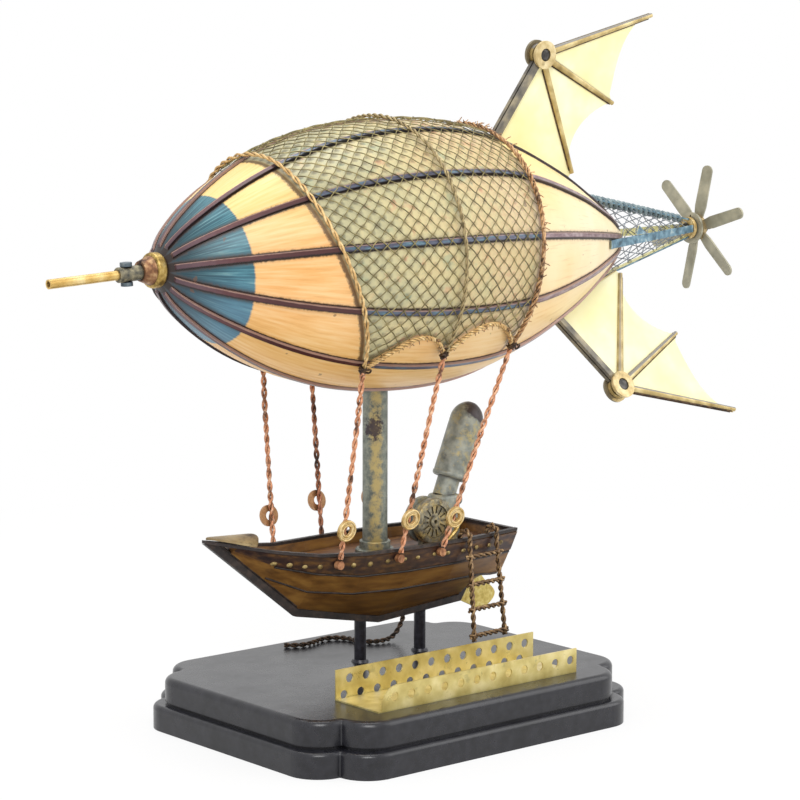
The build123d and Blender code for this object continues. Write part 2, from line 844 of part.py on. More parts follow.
with BuildPart() as nose_ring:
    with BuildSketch(Plane(origin=station(nose_seat, axis_z), x_dir=(0, 1, 0), z_dir=(-1, 0, 0))):
        Circle(nose_ring_radius)
    extrude(amount=nose_ring_length)
    fillet(nose_ring.edges().filter_by(GeomType.CIRCLE), nose_ring_round)
    add(socket_space.part, mode=Mode.SUBTRACT)
write(nose_ring.part, "nose_ring")

with BuildPart() as nose_cone:
    cone_foot = Plane(
        origin=station(nose_seat - nose_ring_length - ring_clearance, axis_z), x_dir=(0, 1, 0), z_dir=(-1, 0, 0)
    )
    with BuildSketch(cone_foot):
        Circle(nose_cone_radius)
    with BuildSketch(cone_foot.offset(nose_cone_length)):
        Circle(socket_radius + 0.8)
    loft(ruled=True)
    add(socket_space.part, mode=Mode.SUBTRACT)
write(nose_cone.part, "nose_cone")

with BuildPart() as socket:
    with BuildSketch(spear_axis.offset(0.6)):
        Circle(socket_radius)
    extrude(amount=socket_end - 0.6)
    chamfer(socket.faces().sort_by(Axis.X)[0].edges(), 0.3)
    with BuildSketch(spear_axis.offset(socket_end)):
        Circle(socket_bore_radius)
    extrude(amount=-(spear_insert + 0.2), mode=Mode.SUBTRACT)
    add(pin_space.part, mode=Mode.SUBTRACT)
write(socket.part, "nose_socket")

with BuildPart() as spear:
    with BuildSketch(spear_axis.offset(socket_end - spear_insert)):
        Circle(spear_radius)
        Circle(spear_bore_radius, mode=Mode.SUBTRACT)
    extrude(amount=spear_length)
    add(pin_space.part, mode=Mode.SUBTRACT)
write(spear.part, "nose_spear")

with BuildPart() as nose_pin:
    pin_base = Plane(
        origin=spear_axis.origin + spear_axis.z_dir * pin_place,
        x_dir=(0, 1, 0),
        z_dir=(sin(droop), 0, -cos(droop)),
    )
    reach = socket_radius + 0.05
    with BuildSketch(pin_base):
        Circle(socket_pin_radius)
    extrude(amount=reach + pin_head_height / 2, both=True)
    for place, amount in ((reach, pin_head_height), (-reach, -pin_head_height)):
        with BuildSketch(pin_base.offset(place)):
            Circle(pin_head_radius)
        extrude(amount=amount)
write(nose_pin.part, "nose_pin")

# Net: three ropes over the top, swags between their ends, and the mesh they hold down
skin_rise = rib_seat + rib_height + net_skin_gap
rope_rise = skin_rise + net_skin + net_rope_radius + net_rope_gap


def rope_station(rope, angle):
    """Where a body rope crosses a given angle: it sweeps aft towards its ends."""
    x, sweep, end = rope
    share = (1 - cos(radians(abs(angle)))) / (1 - cos(radians(end)))
    return x + sweep * share ** 1.6


def swag_angle(first, second, x):
    """The angle of the net's lower edge between two rope ends."""
    start, stop = rope_station(first, first[2]), rope_station(second, second[2])
    share = min(max((x - start) / (stop - start), 0.0), 1.0)
    return first[2] + (second[2] - first[2]) * share - net_swag * 4 * share * (1 - share)


body_ropes = (net_front, net_middle, net_rear)
rope_lines = []
for rope in body_ropes:
    turns = [rope[2] * step / 19 for step in range(-19, 20)]
    rope_lines.append([over_envelope(rope_station(rope, turn), turn, rope_rise) for turn in turns])
write(
    group([rod_through(line, net_rope_radius) for line in rope_lines], "net_ropes"), "net_ropes"
)

swags = []
for first, second in ((net_front, net_middle), (net_middle, net_rear)):
    start, stop = rope_station(first, first[2]), rope_station(second, second[2])
    margin = net_rope_radius * 2 + net_rope_gap
    for side in (-1, 1):
        stations = [start + margin + (stop - start - 2 * margin) * step / 10 for step in range(11)]
        swags.append(rod_through(
            [over_envelope(x, side * swag_angle(first, second, x), rope_rise) for x in stations],
            net_swag_radius,
            6,
        ))
write(group(swags, "net_swags"), "net_swags")


def side_view(x, angle):
    """A point of the net as it shows from the side, in the envelope's own plane."""
    return (x, (envelope_radius(x) + skin_rise) * cos(radians(angle)))


front_line = [side_view(rope_station(net_front, turn), turn) for turn in range(0, 142, 12)]
rear_line = [side_view(rope_station(net_rear, turn), turn) for turn in range(130, -1, -13)]
lower_line = []
for first, second in ((net_front, net_middle), (net_middle, net_rear)):
    start, stop = rope_station(first, first[2]), rope_station(second, second[2])
    for step in range(1, 9):
        x = start + (stop - start) * step / 9
        lower_line.append(side_view(x, swag_angle(first, second, x) - 1.0))
    lower_line.append(side_view(stop, second[2]))
with BuildPart() as net:
    with BuildSketch(axial_plane(0)):
        with BuildLine():
            low = Spline(*profile_points(skin_rise), tangents=(nose_slope, tail_slope))
            high = Spline(*profile_points(skin_rise + net_skin), tangents=(nose_slope, tail_slope))
            Line(low @ 0, high @ 0)
            Line(low @ 1, high @ 1)
        make_face()
    revolve(axis=envelope_axis)
    with BuildSketch(axial_plane(0)):
        with BuildLine():
            Polyline(*front_line, *lower_line[:-1], *rear_line, (net_rear[0], 60), (net_front[0], 60), close=True)
        make_face()
    extrude(amount=plinth_width, both=True, mode=Mode.INTERSECT)
write(net.part, "net_mesh")

# Suspension ropes: each goes on from the end of a body rope down to the boat's side


def rim_half_width(x):
    """Half the boat's width at the rim, between its stations."""
    for (x0, *first), (x1, *second) in zip(hull_stations, hull_stations[1:]):
        if x0 <= x <= x1:
            share = (x - x0) / (x1 - x0)
            return first[-1][0] + (second[-1][0] - first[-1][0]) * share
    return hull_stations[-1][-1][0]


def band_face(x, height):
    """Half the boat's width over the stud band, at a station and a height."""
    for (x0, *first), (x1, *second) in zip(hull_stations, hull_stations[1:]):
        if x0 <= x <= x1:
            share = (x - x0) / (x1 - x0)
            low, top = (
                [a + (b - a) * share for a, b in zip(one, other)]
                for one, other in zip(first[-2:], second[-2:])
            )
            climb = (height - low[1]) / (top[1] - low[1])
            return low[0] + (top[0] - low[0]) * climb + band_seat + band_thickness


rope_labels = ("front", "middle", "rear")
rings = []
eyelets = []
for side, name, feet in ((-1, "near", rope_feet), (1, "far", far_rope_feet)):
    for label, line, foot_x, ring_height in zip(rope_labels, rope_lines, feet, ring_heights):
        end, before = (line[-1], line[-2]) if side < 0 else (line[0], line[1])
        end, before = Vector(*end), Vector(*before)
        along = (end - before).normalized()
        half = rim_half_width(foot_x) + rim_overhang + rope_radius + 0.1
        foot = Vector(foot_x, ship_y + side * half, eyelet_height + eyelet_radius + 0.4)
        rope = rod_through([end + along * 0.1, end + along * 2.0, foot], rope_radius)
        write(rope, f"{name}_{label}_rope")
        bend = end + along * 2.0
        share = (bend.Z - ring_height) / (bend.Z - foot.Z)
        centre = bend + (foot - bend) * share
        down = (foot - bend).normalized()
        outboard = Vector(0, side, 0)
        facing = (outboard - down * outboard.dot(down)).normalized()
        place = Plane(origin=centre + facing * (rope_radius + 0.1), x_dir=down, z_dir=facing)
        with BuildPart() as ring:
            with BuildSketch(place):
                Circle(ring_outer_radius)
                Circle(ring_hole_radius, mode=Mode.SUBTRACT)
            extrude(amount=ring_thickness)
        rings.append(ring.part)
        with BuildPart() as eyelet:
            seat = band_face(foot_x, eyelet_height + eyelet_radius) + 0.05
            with BuildSketch(Plane(origin=(foot.X, ship_y + side * seat, eyelet_height),
                                   x_dir=(1, 0, 0), z_dir=(0, side, 0))):
                Circle(eyelet_radius)
            extrude(amount=eyelet_length)
        eyelets.append(eyelet.part)
write(group(rings, "rope_rings"), "rope_rings")
write(group(eyelets, "rope_eyelets"), "rope_eyelets")

# Boarding ladder: it hooks over the near rim and hangs outside the planks
rail_top = hull_stations[5][-1][1] + rim_height
rail_halves = [rim_half_width(top - 1.0) + rim_overhang for top in rail_tops]
rail_sides = [ship_y - half - rail_radius - ladder_clearance for half in rail_halves]
with BuildPart() as ladder:
    for top, foot, half, outside in zip(rail_tops, rail_feet, rail_halves, rail_sides):
        inside = ship_y - half + rim_width + rail_radius + ladder_clearance
        hook = [
            (top - 0.8, inside, rail_top - 0.6),
            (top - 0.8, inside, rail_top + 1.4),
            (top - 0.4, (inside + outside) / 2, rail_top + 2.8),
            (top, outside, rail_top + 1.4),
            (top, outside, rail_top - 3.0),
            (foot, outside, rail_foot_height),
        ]
        add(rod_through(hook, rail_radius, 6))
    for height in rung_heights:
        share = (rail_top - height) / (rail_top - rail_foot_height)
        ends = [
            (top + (foot - top) * share + past, outside, height)
            for top, foot, outside, past in zip(rail_tops, rail_feet, rail_sides, (-1.8, 1.8))
        ]
        add(rod_through(ends, rung_radius, 6))
write(ladder.part, "boarding_ladder")

# Anchor rope and the eyelet it hangs from
anchor_hook = (anchor_route[0][0], anchor_route[0][2] + anchor_rope_radius + 0.5)
anchor_seat = band_face(anchor_hook[0], anchor_hook[1] + eyelet_radius) + 0.05
with BuildPart() as anchor_eyelet:
    with BuildSketch(Plane(origin=(anchor_hook[0], ship_y + anchor_seat, anchor_hook[1]),
                           x_dir=(1, 0, 0), z_dir=(0, 1, 0))):
        Circle(eyelet_radius * 0.8)
    extrude(amount=anchor_route[0][1] + anchor_rope_radius - ship_y - anchor_seat)
write(anchor_eyelet.part, "anchor_eyelet")


def cord_radii(route):
    """A bend radius for each inner corner: 0.45 of the shorter run over tan of half the turn."""
    spots = [Vector(*point) for point in route]
    radii = []
    for before, spot, after in zip(spots, spots[1:], spots[2:]):
        into, out = spot - before, after - spot
        half_turn = radians(into.get_angle(out)) / 2
        radii.append(0.45 * min(into.length, out.length) * cos(half_turn) / sin(half_turn))
    return radii


with BuildPart() as anchor_rope:
    with BuildLine() as anchor_line:
        bends = cord_radii(anchor_route)
        FilletPolyline(*anchor_route, radius=bends)
    anchor_path = anchor_line.wire()
    with BuildSketch(Plane(origin=anchor_path @ 0, z_dir=anchor_path % 0)):
        Circle(anchor_rope_radius)
    sweep(path=anchor_path)
rope_volume = anchor_path.length * 3.1416 * anchor_rope_radius**2
print("anchor rope: bend radii", [round(bend, 1) for bend in bends])
print("length", round(anchor_path.length, 1), "volume", round(anchor_rope.part.volume / rope_volume, 3))
write(anchor_rope.part, "anchor_rope")

# Perforated channel: a folded strip with a floor and two walls of different height
half_channel = channel_width / 2
back_y = channel_y + half_channel
front_y = channel_y - half_channel


def hole_row(plane, height, shift):
    """A row of round holes through a wall, at the strip's pitch."""
    spots = [(hole_first_x + shift + hole_pitch * index, height) for index in range(hole_count)]
    with BuildSketch(plane) as holes:
        with Locations(*spots):
            Circle(hole_radius)
    extrude(holes.sketch, amount=2 * sheet_thickness, both=True, mode=Mode.SUBTRACT)


with BuildPart() as channel:
    with BuildSketch(Plane.XY.offset(plinth_top)):
        with Locations((channel_x, channel_y)):
            Rectangle(channel_length, channel_width)
    extrude(amount=sheet_thickness)
    back_wall = Plane(origin=(0, back_y, plinth_top), x_dir=(1, 0, 0), z_dir=(0, -1, 0))
    with BuildSketch(back_wall):
        with Locations((channel_x, back_wall_height / 2)):
            Rectangle(channel_length, back_wall_height)
    extrude(amount=sheet_thickness)
    front_wall = Plane(origin=(0, front_y, plinth_top), x_dir=(1, 0, 0), z_dir=(0, 1, 0))
    front_face = Plane(origin=(0, front_y, plinth_top), x_dir=(1, 0, 0), z_dir=(0, -1, 0))
    with BuildSketch(front_face):
        with BuildLine():
            left = channel_x - channel_length / 2 + front_wall_setback
            right = channel_x + channel_length / 2
            up = Line((left, 0), (left, front_wall_height - front_corner_radius))
            corner = ThreePointArc(
                up @ 1,
                (
                    left + front_corner_radius * (1 - cos(radians(45))),
                    front_wall_height - front_corner_radius * (1 - sin(radians(45))),
                ),
                (left + front_corner_radius, front_wall_height),
            )
            Polyline(corner @ 1, (right, front_wall_height), (right, 0), up @ 0)
        make_face()
    extrude(amount=-sheet_thickness)
    hole_row(front_face, front_row_height, 0.0)
    for height, shift in zip(back_row_heights, back_row_shifts):
        hole_row(back_wall, height, shift)
write(channel.part, "perforated_channel")

# Tail boom: four strips from the envelope to a small plate, with wire mesh between them
strips = []


def boom_point(x, angle, drop=0.0, draw=1.0):
    """A point on a boom strip's centre line, or drawn in or down from it."""
    share = (x - boom_root_x) / (boom_end_x - boom_root_x)
    radius = (boom_root_radius + (boom_end_radius - boom_root_radius) * share) * draw - drop
    turn = radians(angle)
    return Vector(x, ship_y - radius * sin(turn), axis_z + boom_lift * share + radius * cos(turn))


for angle in (0, 90, 180, 270):
    foot_x = boom_root_x - boom_foot
    spots = [
        Vector(*over_envelope(foot_x, angle, boom_strip_thickness / 2 + boom_seat)),
        boom_point(boom_root_x, angle),
        boom_point(boom_end_x - 0.05, angle),
    ]
    turn = radians(angle)
    with BuildPart() as strip:
        sections = []
        for spot, width in zip(spots, (boom_strip_width, boom_strip_width, boom_strip_width * 0.85)):
            across = Plane(origin=spot, x_dir=(0, -cos(turn), -sin(turn)), z_dir=(1, 0, 0))
            with BuildSketch(across) as section:
                Rectangle(width, boom_strip_thickness)
            sections.append(section.sketch)
        loft(sections, ruled=True)
    strips.append(strip.part)
write(group(strips, "boom_strips"), "boom_strips")

mesh_drop = boom_strip_thickness / 2 + boom_mesh_radius + 0.1
mesh_wires = []
mesh_start = boom_root_x + 8.0
mesh_step = (boom_end_x - 1.0 - mesh_start) / boom_mesh_count
for angle in (0, 90, 180, 270):
    for turn, drop in ((90, mesh_drop), (-90, mesh_drop + 2.3 * boom_mesh_radius)):
        for index in range(boom_mesh_count):
            start = mesh_start + mesh_step * index
            run = min(mesh_step * (boom_mesh_count - index) * 0.3, boom_end_x - 0.5 - start)
            low = angle if turn > 0 else angle + 90
            mesh_wires.append(rod_through(
                [
                    boom_point(start + run * share, low + turn * share, drop, draw)
                    for share, draw in ((0, 1), (0.5, boom_mesh_draw), (1, 1))
                ],
                boom_mesh_radius,
                3,
            ))
write(group(mesh_wires, "boom_mesh"), "boom_mesh")

# Boom plate, tail pin, propeller and nut share one axis
tail_axis = Plane(origin=station(boom_end_x, axis_z + boom_lift), x_dir=(0, 1, 0), z_dir=(1, 0, 0))
with BuildPart() as boom_plate:
    with BuildSketch(tail_axis):
        Circle(boom_plate_radius)
        Circle(tail_pin_radius, mode=Mode.SUBTRACT)
    extrude(amount=boom_plate_length)
write(boom_plate.part, "boom_plate")

with BuildPart() as tail_pin:
    with BuildSketch(tail_axis.offset(-0.6)):
        Circle(tail_pin_radius)
    extrude(amount=tail_pin_length)
    with BuildSketch(tail_axis.offset(-0.6)):
        Circle(tail_pin_radius + 0.8)
    extrude(amount=0.6)
write(tail_pin.part, "tail_pin")

hub_start = boom_plate_length + propeller_gap
blade_place = hub_start + propeller_face_thickness + 2.6
with BuildPart() as propeller:
    with BuildSketch(tail_axis.offset(hub_start)):
        Circle(propeller_hub_radius)
    extrude(amount=propeller_hub_length)
    with BuildSketch(tail_axis.offset(hub_start)):
        Circle(propeller_face_radius)
        with Locations((0, face_notch_place)):
            RegularPolygon(face_notch_radius, 3, rotation=90, mode=Mode.SUBTRACT)
    extrude(amount=propeller_face_thickness)
    with BuildSketch(tail_axis.offset(blade_place)):
        Circle(propeller_ring_radius)
    extrude(amount=propeller_ring_thickness, both=True)
    for index in range(blade_count):
        turn = radians(blade_first_angle + index * 360 / blade_count)
        pitch = radians(blade_pitch)
        outward = Vector(0, sin(turn), cos(turn))
        across = Vector(0, cos(turn), -sin(turn))
        flat = Plane(
            origin=tail_axis.origin + tail_axis.z_dir * blade_place,
            x_dir=outward,
            z_dir=across.cross(outward) * cos(pitch) + across * sin(pitch),
        )
        with BuildSketch(flat):
            with BuildLine():
                root = Line((1.6, -blade_width * 0.3), (blade_length * 0.34, -blade_width / 2))
                edge = Line(root @ 1, (blade_length - blade_width * 0.45, -blade_width * 0.46))
                tip = ThreePointArc(
                    edge @ 1, (blade_length, 0), (blade_length - blade_width * 0.45, blade_width * 0.46)
                )
                Polyline(
                    tip @ 1, (blade_length * 0.34, blade_width / 2), (1.6, blade_width * 0.3), root @ 0
                )
            make_face()
        extrude(amount=blade_thickness / 2, both=True)
    with BuildSketch(tail_axis.offset(hub_start)):
        Circle(tail_pin_radius + running_clearance)
    extrude(amount=propeller_hub_length, mode=Mode.SUBTRACT)
write(propeller.part, "propeller")

nut_start = hub_start + propeller_hub_length + propeller_gap
with BuildPart() as tail_nut:
    with BuildSketch(tail_axis.offset(nut_start)):
        RegularPolygon(nut_radius, 6)
        Circle(tail_pin_radius + 0.02, mode=Mode.SUBTRACT)
    extrude(amount=nut_length)
write(tail_nut.part, "tail_nut")

# Bat wings: a thin skin between stiff fingers that spread from a joint on a short arm


def on_wing(plane, spot, shift, rise=0.0):
    """A point of the wing's own drawing, in space."""
    return plane.from_local_coords(Vector(spot[0] + shift[0], spot[1] + shift[1], rise))


def half_round_rod(plane, start, stop, shift, face, sizes, lift):
    """A tapered rod with a half-round section, flat on one face of the skin."""
    first, last = on_wing(plane, start, shift), on_wing(plane, stop, shift)
    along = (last - first).normalized()
    normal = plane.z_dir * face
    sections = []
    for spot, (width, height) in zip((first, last), sizes):
        across = Plane(origin=spot + normal * lift, x_dir=along.cross(normal) * -1, z_dir=along)
        with BuildSketch(across) as section:
            with BuildLine():
                arc = ThreePointArc((-width / 2, 0), (0, height), (width / 2, 0))
                Line(arc @ 1, arc @ 0)
            make_face()
        sections.append(section.sketch)
    with BuildPart(mode=Mode.PRIVATE) as rod:
        loft(sections, ruled=True)
    return rod.part


def wing(name, angle, shift):
    """One wing: skin, fingers on both faces, arm, washers and screw."""
    plane = axial_plane(angle)
    centre = (wing_joint[0] + shift[0], wing_joint[1] + shift[1])
    lift = membrane_thickness / 2 + 0.05

    with BuildPart(mode=Mode.PRIVATE) as skin:
        with BuildSketch(plane):
            with BuildLine():
                points = [wing_root, wing_joint, wing_tips[0]]
                Polyline(*[(x + shift[0], r + shift[1]) for x, r in points])
                for tip, stops, following in zip(wing_tips, wing_scallops, wing_tips[1:]):
                    line = [(x + shift[0], r + shift[1]) for x, r in (tip, *stops, following)]
                    Line(line[0], line[1])
                    Spline(*line[1:-1])
                    Line(line[-2], line[-1])
                last, first = wing_tips[-1], wing_root
                Polyline(
                    (last[0] + shift[0], last[1] + shift[1]),
                    (last[0] - 1.6 + shift[0], last[1] - 1.7 + shift[1]),
                    (first[0] + 2.2 + shift[0], first[1] - 0.8 + shift[1]),
                    (first[0] + shift[0], first[1] + shift[1]),
                )
            make_face()
            with Locations(centre):
                Circle(wing_screw_radius + 0.05, mode=Mode.SUBTRACT)
            with BuildLine():
                low = Spline(*profile_points(wing_seat), tangents=(nose_slope, tail_slope))
                Polyline(low @ 1, (tail_x, 0), (nose_x, 0), low @ 0)
            make_face(mode=Mode.SUBTRACT)
        extrude(amount=membrane_thickness / 2, both=True)
    write(skin.part, f"{name}_wing_skin")

    spiders = []
    for face in (1, -1):
        with BuildPart(mode=Mode.PRIVATE) as spider:
            with BuildSketch(plane.offset(face * lift)):
                with Locations(centre):
                    Circle(washer_radius * 0.75)
            extrude(amount=face * finger_height)
            for tip in wing_tips:
                add(half_round_rod(
                    plane, wing_joint, tip, shift, face,
                    ((finger_root_width, finger_height), (finger_tip_width, finger_height * 0.7)), lift,
                ))
            with BuildSketch(plane):
                with Locations(centre):
                    Circle(wing_screw_radius + 0.05)
            extrude(amount=3 * face * finger_height, mode=Mode.SUBTRACT)
        spiders.append(spider.part)
    write(group(spiders, "fingers"), f"{name}_wing_fingers")

    start = Vector(*wing_joint) - Vector(*wing_root)
    reach = start.normalized()
    arm_end = Vector(*wing_joint) - reach * (washer_radius * 0.75 + 0.1)
    arms = []
    for face in (1, -1):
        with BuildPart(mode=Mode.PRIVATE) as arm:
            with BuildSketch(plane.offset(face * lift)):
                with BuildLine():
                    side = Vector(-reach.Y, reach.X) * arm_width / 2
                    inner = Vector(*wing_root) - reach * 3.0
                    move = Vector(*shift)
                    Polyline(
                        inner + side + move, arm_end + side + move, arm_end - side + move, inner - side + move,
                        close=True,
                    )
                make_face()
                with BuildLine():
                    low = Spline(*profile_points(wing_seat), tangents=(nose_slope, tail_slope))
                    Polyline(low @ 1, (tail_x, 0), (nose_x, 0), low @ 0)
                make_face(mode=Mode.SUBTRACT)
            extrude(amount=face * arm_height)
        arms.append(arm.part)
    write(group(arms, "arms"), f"{name}_wing_arms")

    washers = []
    for face in (1, -1):
        with BuildPart(mode=Mode.PRIVATE) as washer:
            with BuildSketch(plane.offset(face * (lift + finger_height + 0.05))):
                with Locations(centre):
                    Circle(washer_radius)
                    Circle(washer_hole_radius, mode=Mode.SUBTRACT)
            extrude(amount=face * washer_thickness)
        washers.append(washer.part)
    write(group(washers, "washers"), f"{name}_wing_washers")

    with BuildPart(mode=Mode.PRIVATE) as screw:
        reach = lift + finger_height + 0.05
        with BuildSketch(plane):
            with Locations(centre):
                Circle(wing_screw_radius)
        extrude(amount=reach + 0.2, both=True)
        for face in (1, -1):
            with BuildSketch(plane.offset(face * reach)):
                with Locations(centre):
                    Circle(wing_screw_head_radius)
            extrude(amount=face * washer_thickness * 0.7)
    write(screw.part, f"{name}_wing_screw")


wing("upper", upper_wing_angle, (0.0, 0.0))
wing("lower", lower_wing_angle, lower_wing_shift)
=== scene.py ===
import random
from math import cos, pi, radians, sin

import bmesh
import bpy
from mathutils import Matrix, Vector
from mathutils.bvhtree import BVHTree


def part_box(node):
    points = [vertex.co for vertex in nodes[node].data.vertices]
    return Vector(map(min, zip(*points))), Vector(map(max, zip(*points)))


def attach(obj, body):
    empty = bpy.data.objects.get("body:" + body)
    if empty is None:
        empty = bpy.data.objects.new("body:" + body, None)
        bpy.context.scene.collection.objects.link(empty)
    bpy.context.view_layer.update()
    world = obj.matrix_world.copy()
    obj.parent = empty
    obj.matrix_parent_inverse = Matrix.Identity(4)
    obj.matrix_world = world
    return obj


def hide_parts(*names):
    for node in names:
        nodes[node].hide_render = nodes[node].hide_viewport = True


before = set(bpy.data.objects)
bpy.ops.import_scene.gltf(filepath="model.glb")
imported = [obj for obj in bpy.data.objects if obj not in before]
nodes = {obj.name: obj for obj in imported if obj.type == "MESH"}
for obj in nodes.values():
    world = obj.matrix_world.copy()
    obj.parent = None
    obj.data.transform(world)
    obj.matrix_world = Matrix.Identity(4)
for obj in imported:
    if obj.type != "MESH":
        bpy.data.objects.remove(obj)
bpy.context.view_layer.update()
MM = 0.001

# The ship and the envelope share one centre plane, and the envelope's axis is level
SHIP_Y = 13.1 * MM
AXIS_Z = 153.6 * MM
MAST_X = 3.6 * MM
# The net's wires run at 45 degrees over a girth of this radius, this far apart, from 141 degrees down each side
GIRTH = 43.0 * MM
PITCH = 3.4 * MM
SPACING = PITCH * 2**0.5
REACH = radians(141) * GIRTH


def linear(hex_code, alpha=1.0):
    """An sRGB hex colour as Blender's linear values."""
    parts = [int(hex_code.lstrip("#")[i:i + 2], 16) / 255 for i in (0, 2, 4)]
    return tuple(c / 12.92 if c <= 0.04045 else ((c + 0.055) / 1.055) ** 2.4 for c in parts) + (alpha,)


def add(tree, kind, inputs=None, stops=None, **settings):
    """Adds a node with its settings; an input is a value, or a socket that is linked to it."""
    made = tree.nodes.new(kind)
    for name, value in settings.items():
        setattr(made, name, value)
    for name, value in (inputs or {}).items():
        if isinstance(value, bpy.types.NodeSocket):
            tree.links.new(value, made.inputs[name])
        else:
            made.inputs[name].default_value = value
    if stops:
        ramp = made.color_ramp
        while len(ramp.elements) < len(stops):
            ramp.elements.new(0.5)
        for element, (place, colour) in zip(ramp.elements, stops):
            element.position = place
            element.color = linear(colour) if isinstance(colour, str) else (colour,) * 3 + (1.0,)
    return made


def start_material(name):
    """An empty node material with its shader, output and object coordinates."""
    material = bpy.data.materials.new(name)
    material.use_nodes = True
    tree = material.node_tree
    tree.nodes.clear()
    shader = add(tree, "ShaderNodeBsdfPrincipled")
    add(tree, "ShaderNodeOutputMaterial", {"Surface": shader.outputs[0]})
    return material, tree, shader, add(tree, "ShaderNodeTexCoord").outputs["Object"]


def antiqued(name, tones, stain_and_shade, stain_from=0.55, stain_to=0.7, grain_mm=1.6, stain_mm=7.0,
             stretch=(1, 1, 1), metallic=0.5, roughness=(0.35, 0.6), bump=0.25, shade_and_wash=0.7,
             shade_and_wash_mm=1.6, rub=None, rub_from=0.56, rub_mm=9.0, burnt=None, facing_up=None, far_side=None,
             middle=None):
    """Paint or plating rubbed by hand: mottled tones, dark stains, gold rubbed spots, and painted shade with the dark
    wash in the corners.
    """
    material, tree, shader, spot = start_material(name)
    place = add(tree, "ShaderNodeMapping", {"Vector": spot, "Scale": stretch}).outputs[0]
    grain = add(tree, "ShaderNodeTexNoise", {"Vector": place, "Scale": 1000 / grain_mm, "Detail": 5.0})
    tone = add(tree, "ShaderNodeValToRGB", {"Fac": grain.outputs[0]},
               stops=[(0.3 + 0.4 * i / max(len(tones) - 1, 1), t) for i, t in enumerate(tones)])
    patch = add(tree, "ShaderNodeTexNoise",
                {"Vector": place, "Scale": 1000 / stain_mm, "Detail": 7.0, "Roughness": 0.7})
    mask = add(tree, "ShaderNodeMapRange",
               {"Value": patch.outputs[0], "From Min": stain_from, "From Max": stain_to})
    colour = add(tree, "ShaderNodeMix", {0: mask.outputs[0], 6: tone.outputs[0], 7: linear(stain_and_shade)},
                 data_type="RGBA").outputs[2]
    if rub:
        moved = add(tree, "ShaderNodeMapping", {"Vector": spot, "Location": (0.3, 0.1, 0.2)})
        flecks = add(tree, "ShaderNodeTexNoise",
                     {"Vector": moved.outputs[0], "Scale": 1000 / rub_mm, "Detail": 10.0, "Roughness": 0.8})
        wear_and_highlight = add(tree, "ShaderNodeMapRange",
                   {"Value": flecks.outputs[0], "From Min": rub_from, "From Max": rub_from + 0.1, "To Max": 0.8})
        colour = add(tree, "ShaderNodeMix", {0: wear_and_highlight.outputs[0], 6: colour, 7: linear(rub)},
                     data_type="RGBA").outputs[2]
    if burnt:
        place, size = burnt
        away = add(tree, "ShaderNodeVectorMath", {0: spot, 1: place}, operation="DISTANCE")
        away = add(tree, "ShaderNodeMath", {0: patch.outputs[0], 1: size * 1.2, 2: away.outputs["Value"]},
                   operation="MULTIPLY_ADD")
        mark = add(tree, "ShaderNodeMapRange", {"Value": away.outputs[0], "From Min": size * 1.5,
                                                "From Max": size * 1.35, "To Max": 0.9})
        colour = add(tree, "ShaderNodeMix", {0: mark.outputs[0], 6: colour, 7: linear("#33262E")},
                     data_type="RGBA").outputs[2]
    if facing_up:
        normal = add(tree, "ShaderNodeSeparateXYZ", {0: add(tree, "ShaderNodeNewGeometry").outputs["Normal"]})
        over = add(tree, "ShaderNodeMapRange", {"Value": normal.outputs[2], "From Min": 0.45, "From Max": 0.65})
        colour = add(tree, "ShaderNodeMix", {0: over.outputs[0], 6: colour, 7: linear(facing_up)},
                     data_type="RGBA").outputs[2]
    if far_side:
        paint, limit = far_side
        split = add(tree, "ShaderNodeSeparateXYZ", {0: spot})
        over = add(tree, "ShaderNodeMath", {0: split.outputs[1], 1: limit}, operation="GREATER_THAN")
        toned = add(tree, "ShaderNodeMix", {0: 0.8, 6: colour, 7: linear(paint)}, data_type="RGBA").outputs[2]
        colour = add(tree, "ShaderNodeMix", {0: over.outputs[0], 6: colour, 7: toned}, data_type="RGBA").outputs[2]
    if middle:
        paint, place, size = middle
        away = add(tree, "ShaderNodeVectorMath", {0: spot, 1: place}, operation="DISTANCE")
        over = add(tree, "ShaderNodeMapRange", {"Value": away.outputs["Value"], "From Min": size,
                                                "From Max": size * 0.8})
        colour = add(tree, "ShaderNodeMix", {0: over.outputs[0], 6: colour, 7: linear(paint)},
                     data_type="RGBA").outputs[2]
    if shade_and_wash:
        # Painted shade: corners and crevices crowded by other parts are darkened towards the stain colour, together
        # with the dark wash
        corner = add(tree, "ShaderNodeAmbientOcclusion", {"Distance": shade_and_wash_mm * MM}, samples=6)
        painted_shade = add(tree, "ShaderNodeMapRange",
                   {"Value": corner.outputs["AO"], "From Min": 0.35, "From Max": 0.85, "To Min": shade_and_wash, "To Max": 0.0})
        colour = add(tree, "ShaderNodeMix", {0: painted_shade.outputs[0], 6: colour, 7: linear(stain_and_shade)},
                     data_type="RGBA").outputs[2]
    gloss = add(tree, "ShaderNodeMapRange",
                {"Value": patch.outputs[0], "From Min": 0.3, "From Max": 0.7,
                 "To Min": roughness[0], "To Max": roughness[1]})
    relief = add(tree, "ShaderNodeBump", {"Height": grain.outputs[0], "Strength": bump, "Distance": 0.15 * MM})
    tree.links.new(colour, shader.inputs["Base Color"])
    tree.links.new(gloss.outputs[0], shader.inputs["Roughness"])
    tree.links.new(relief.outputs[0], shader.inputs["Normal"])
    shader.inputs["Metallic"].default_value = metallic
    return material
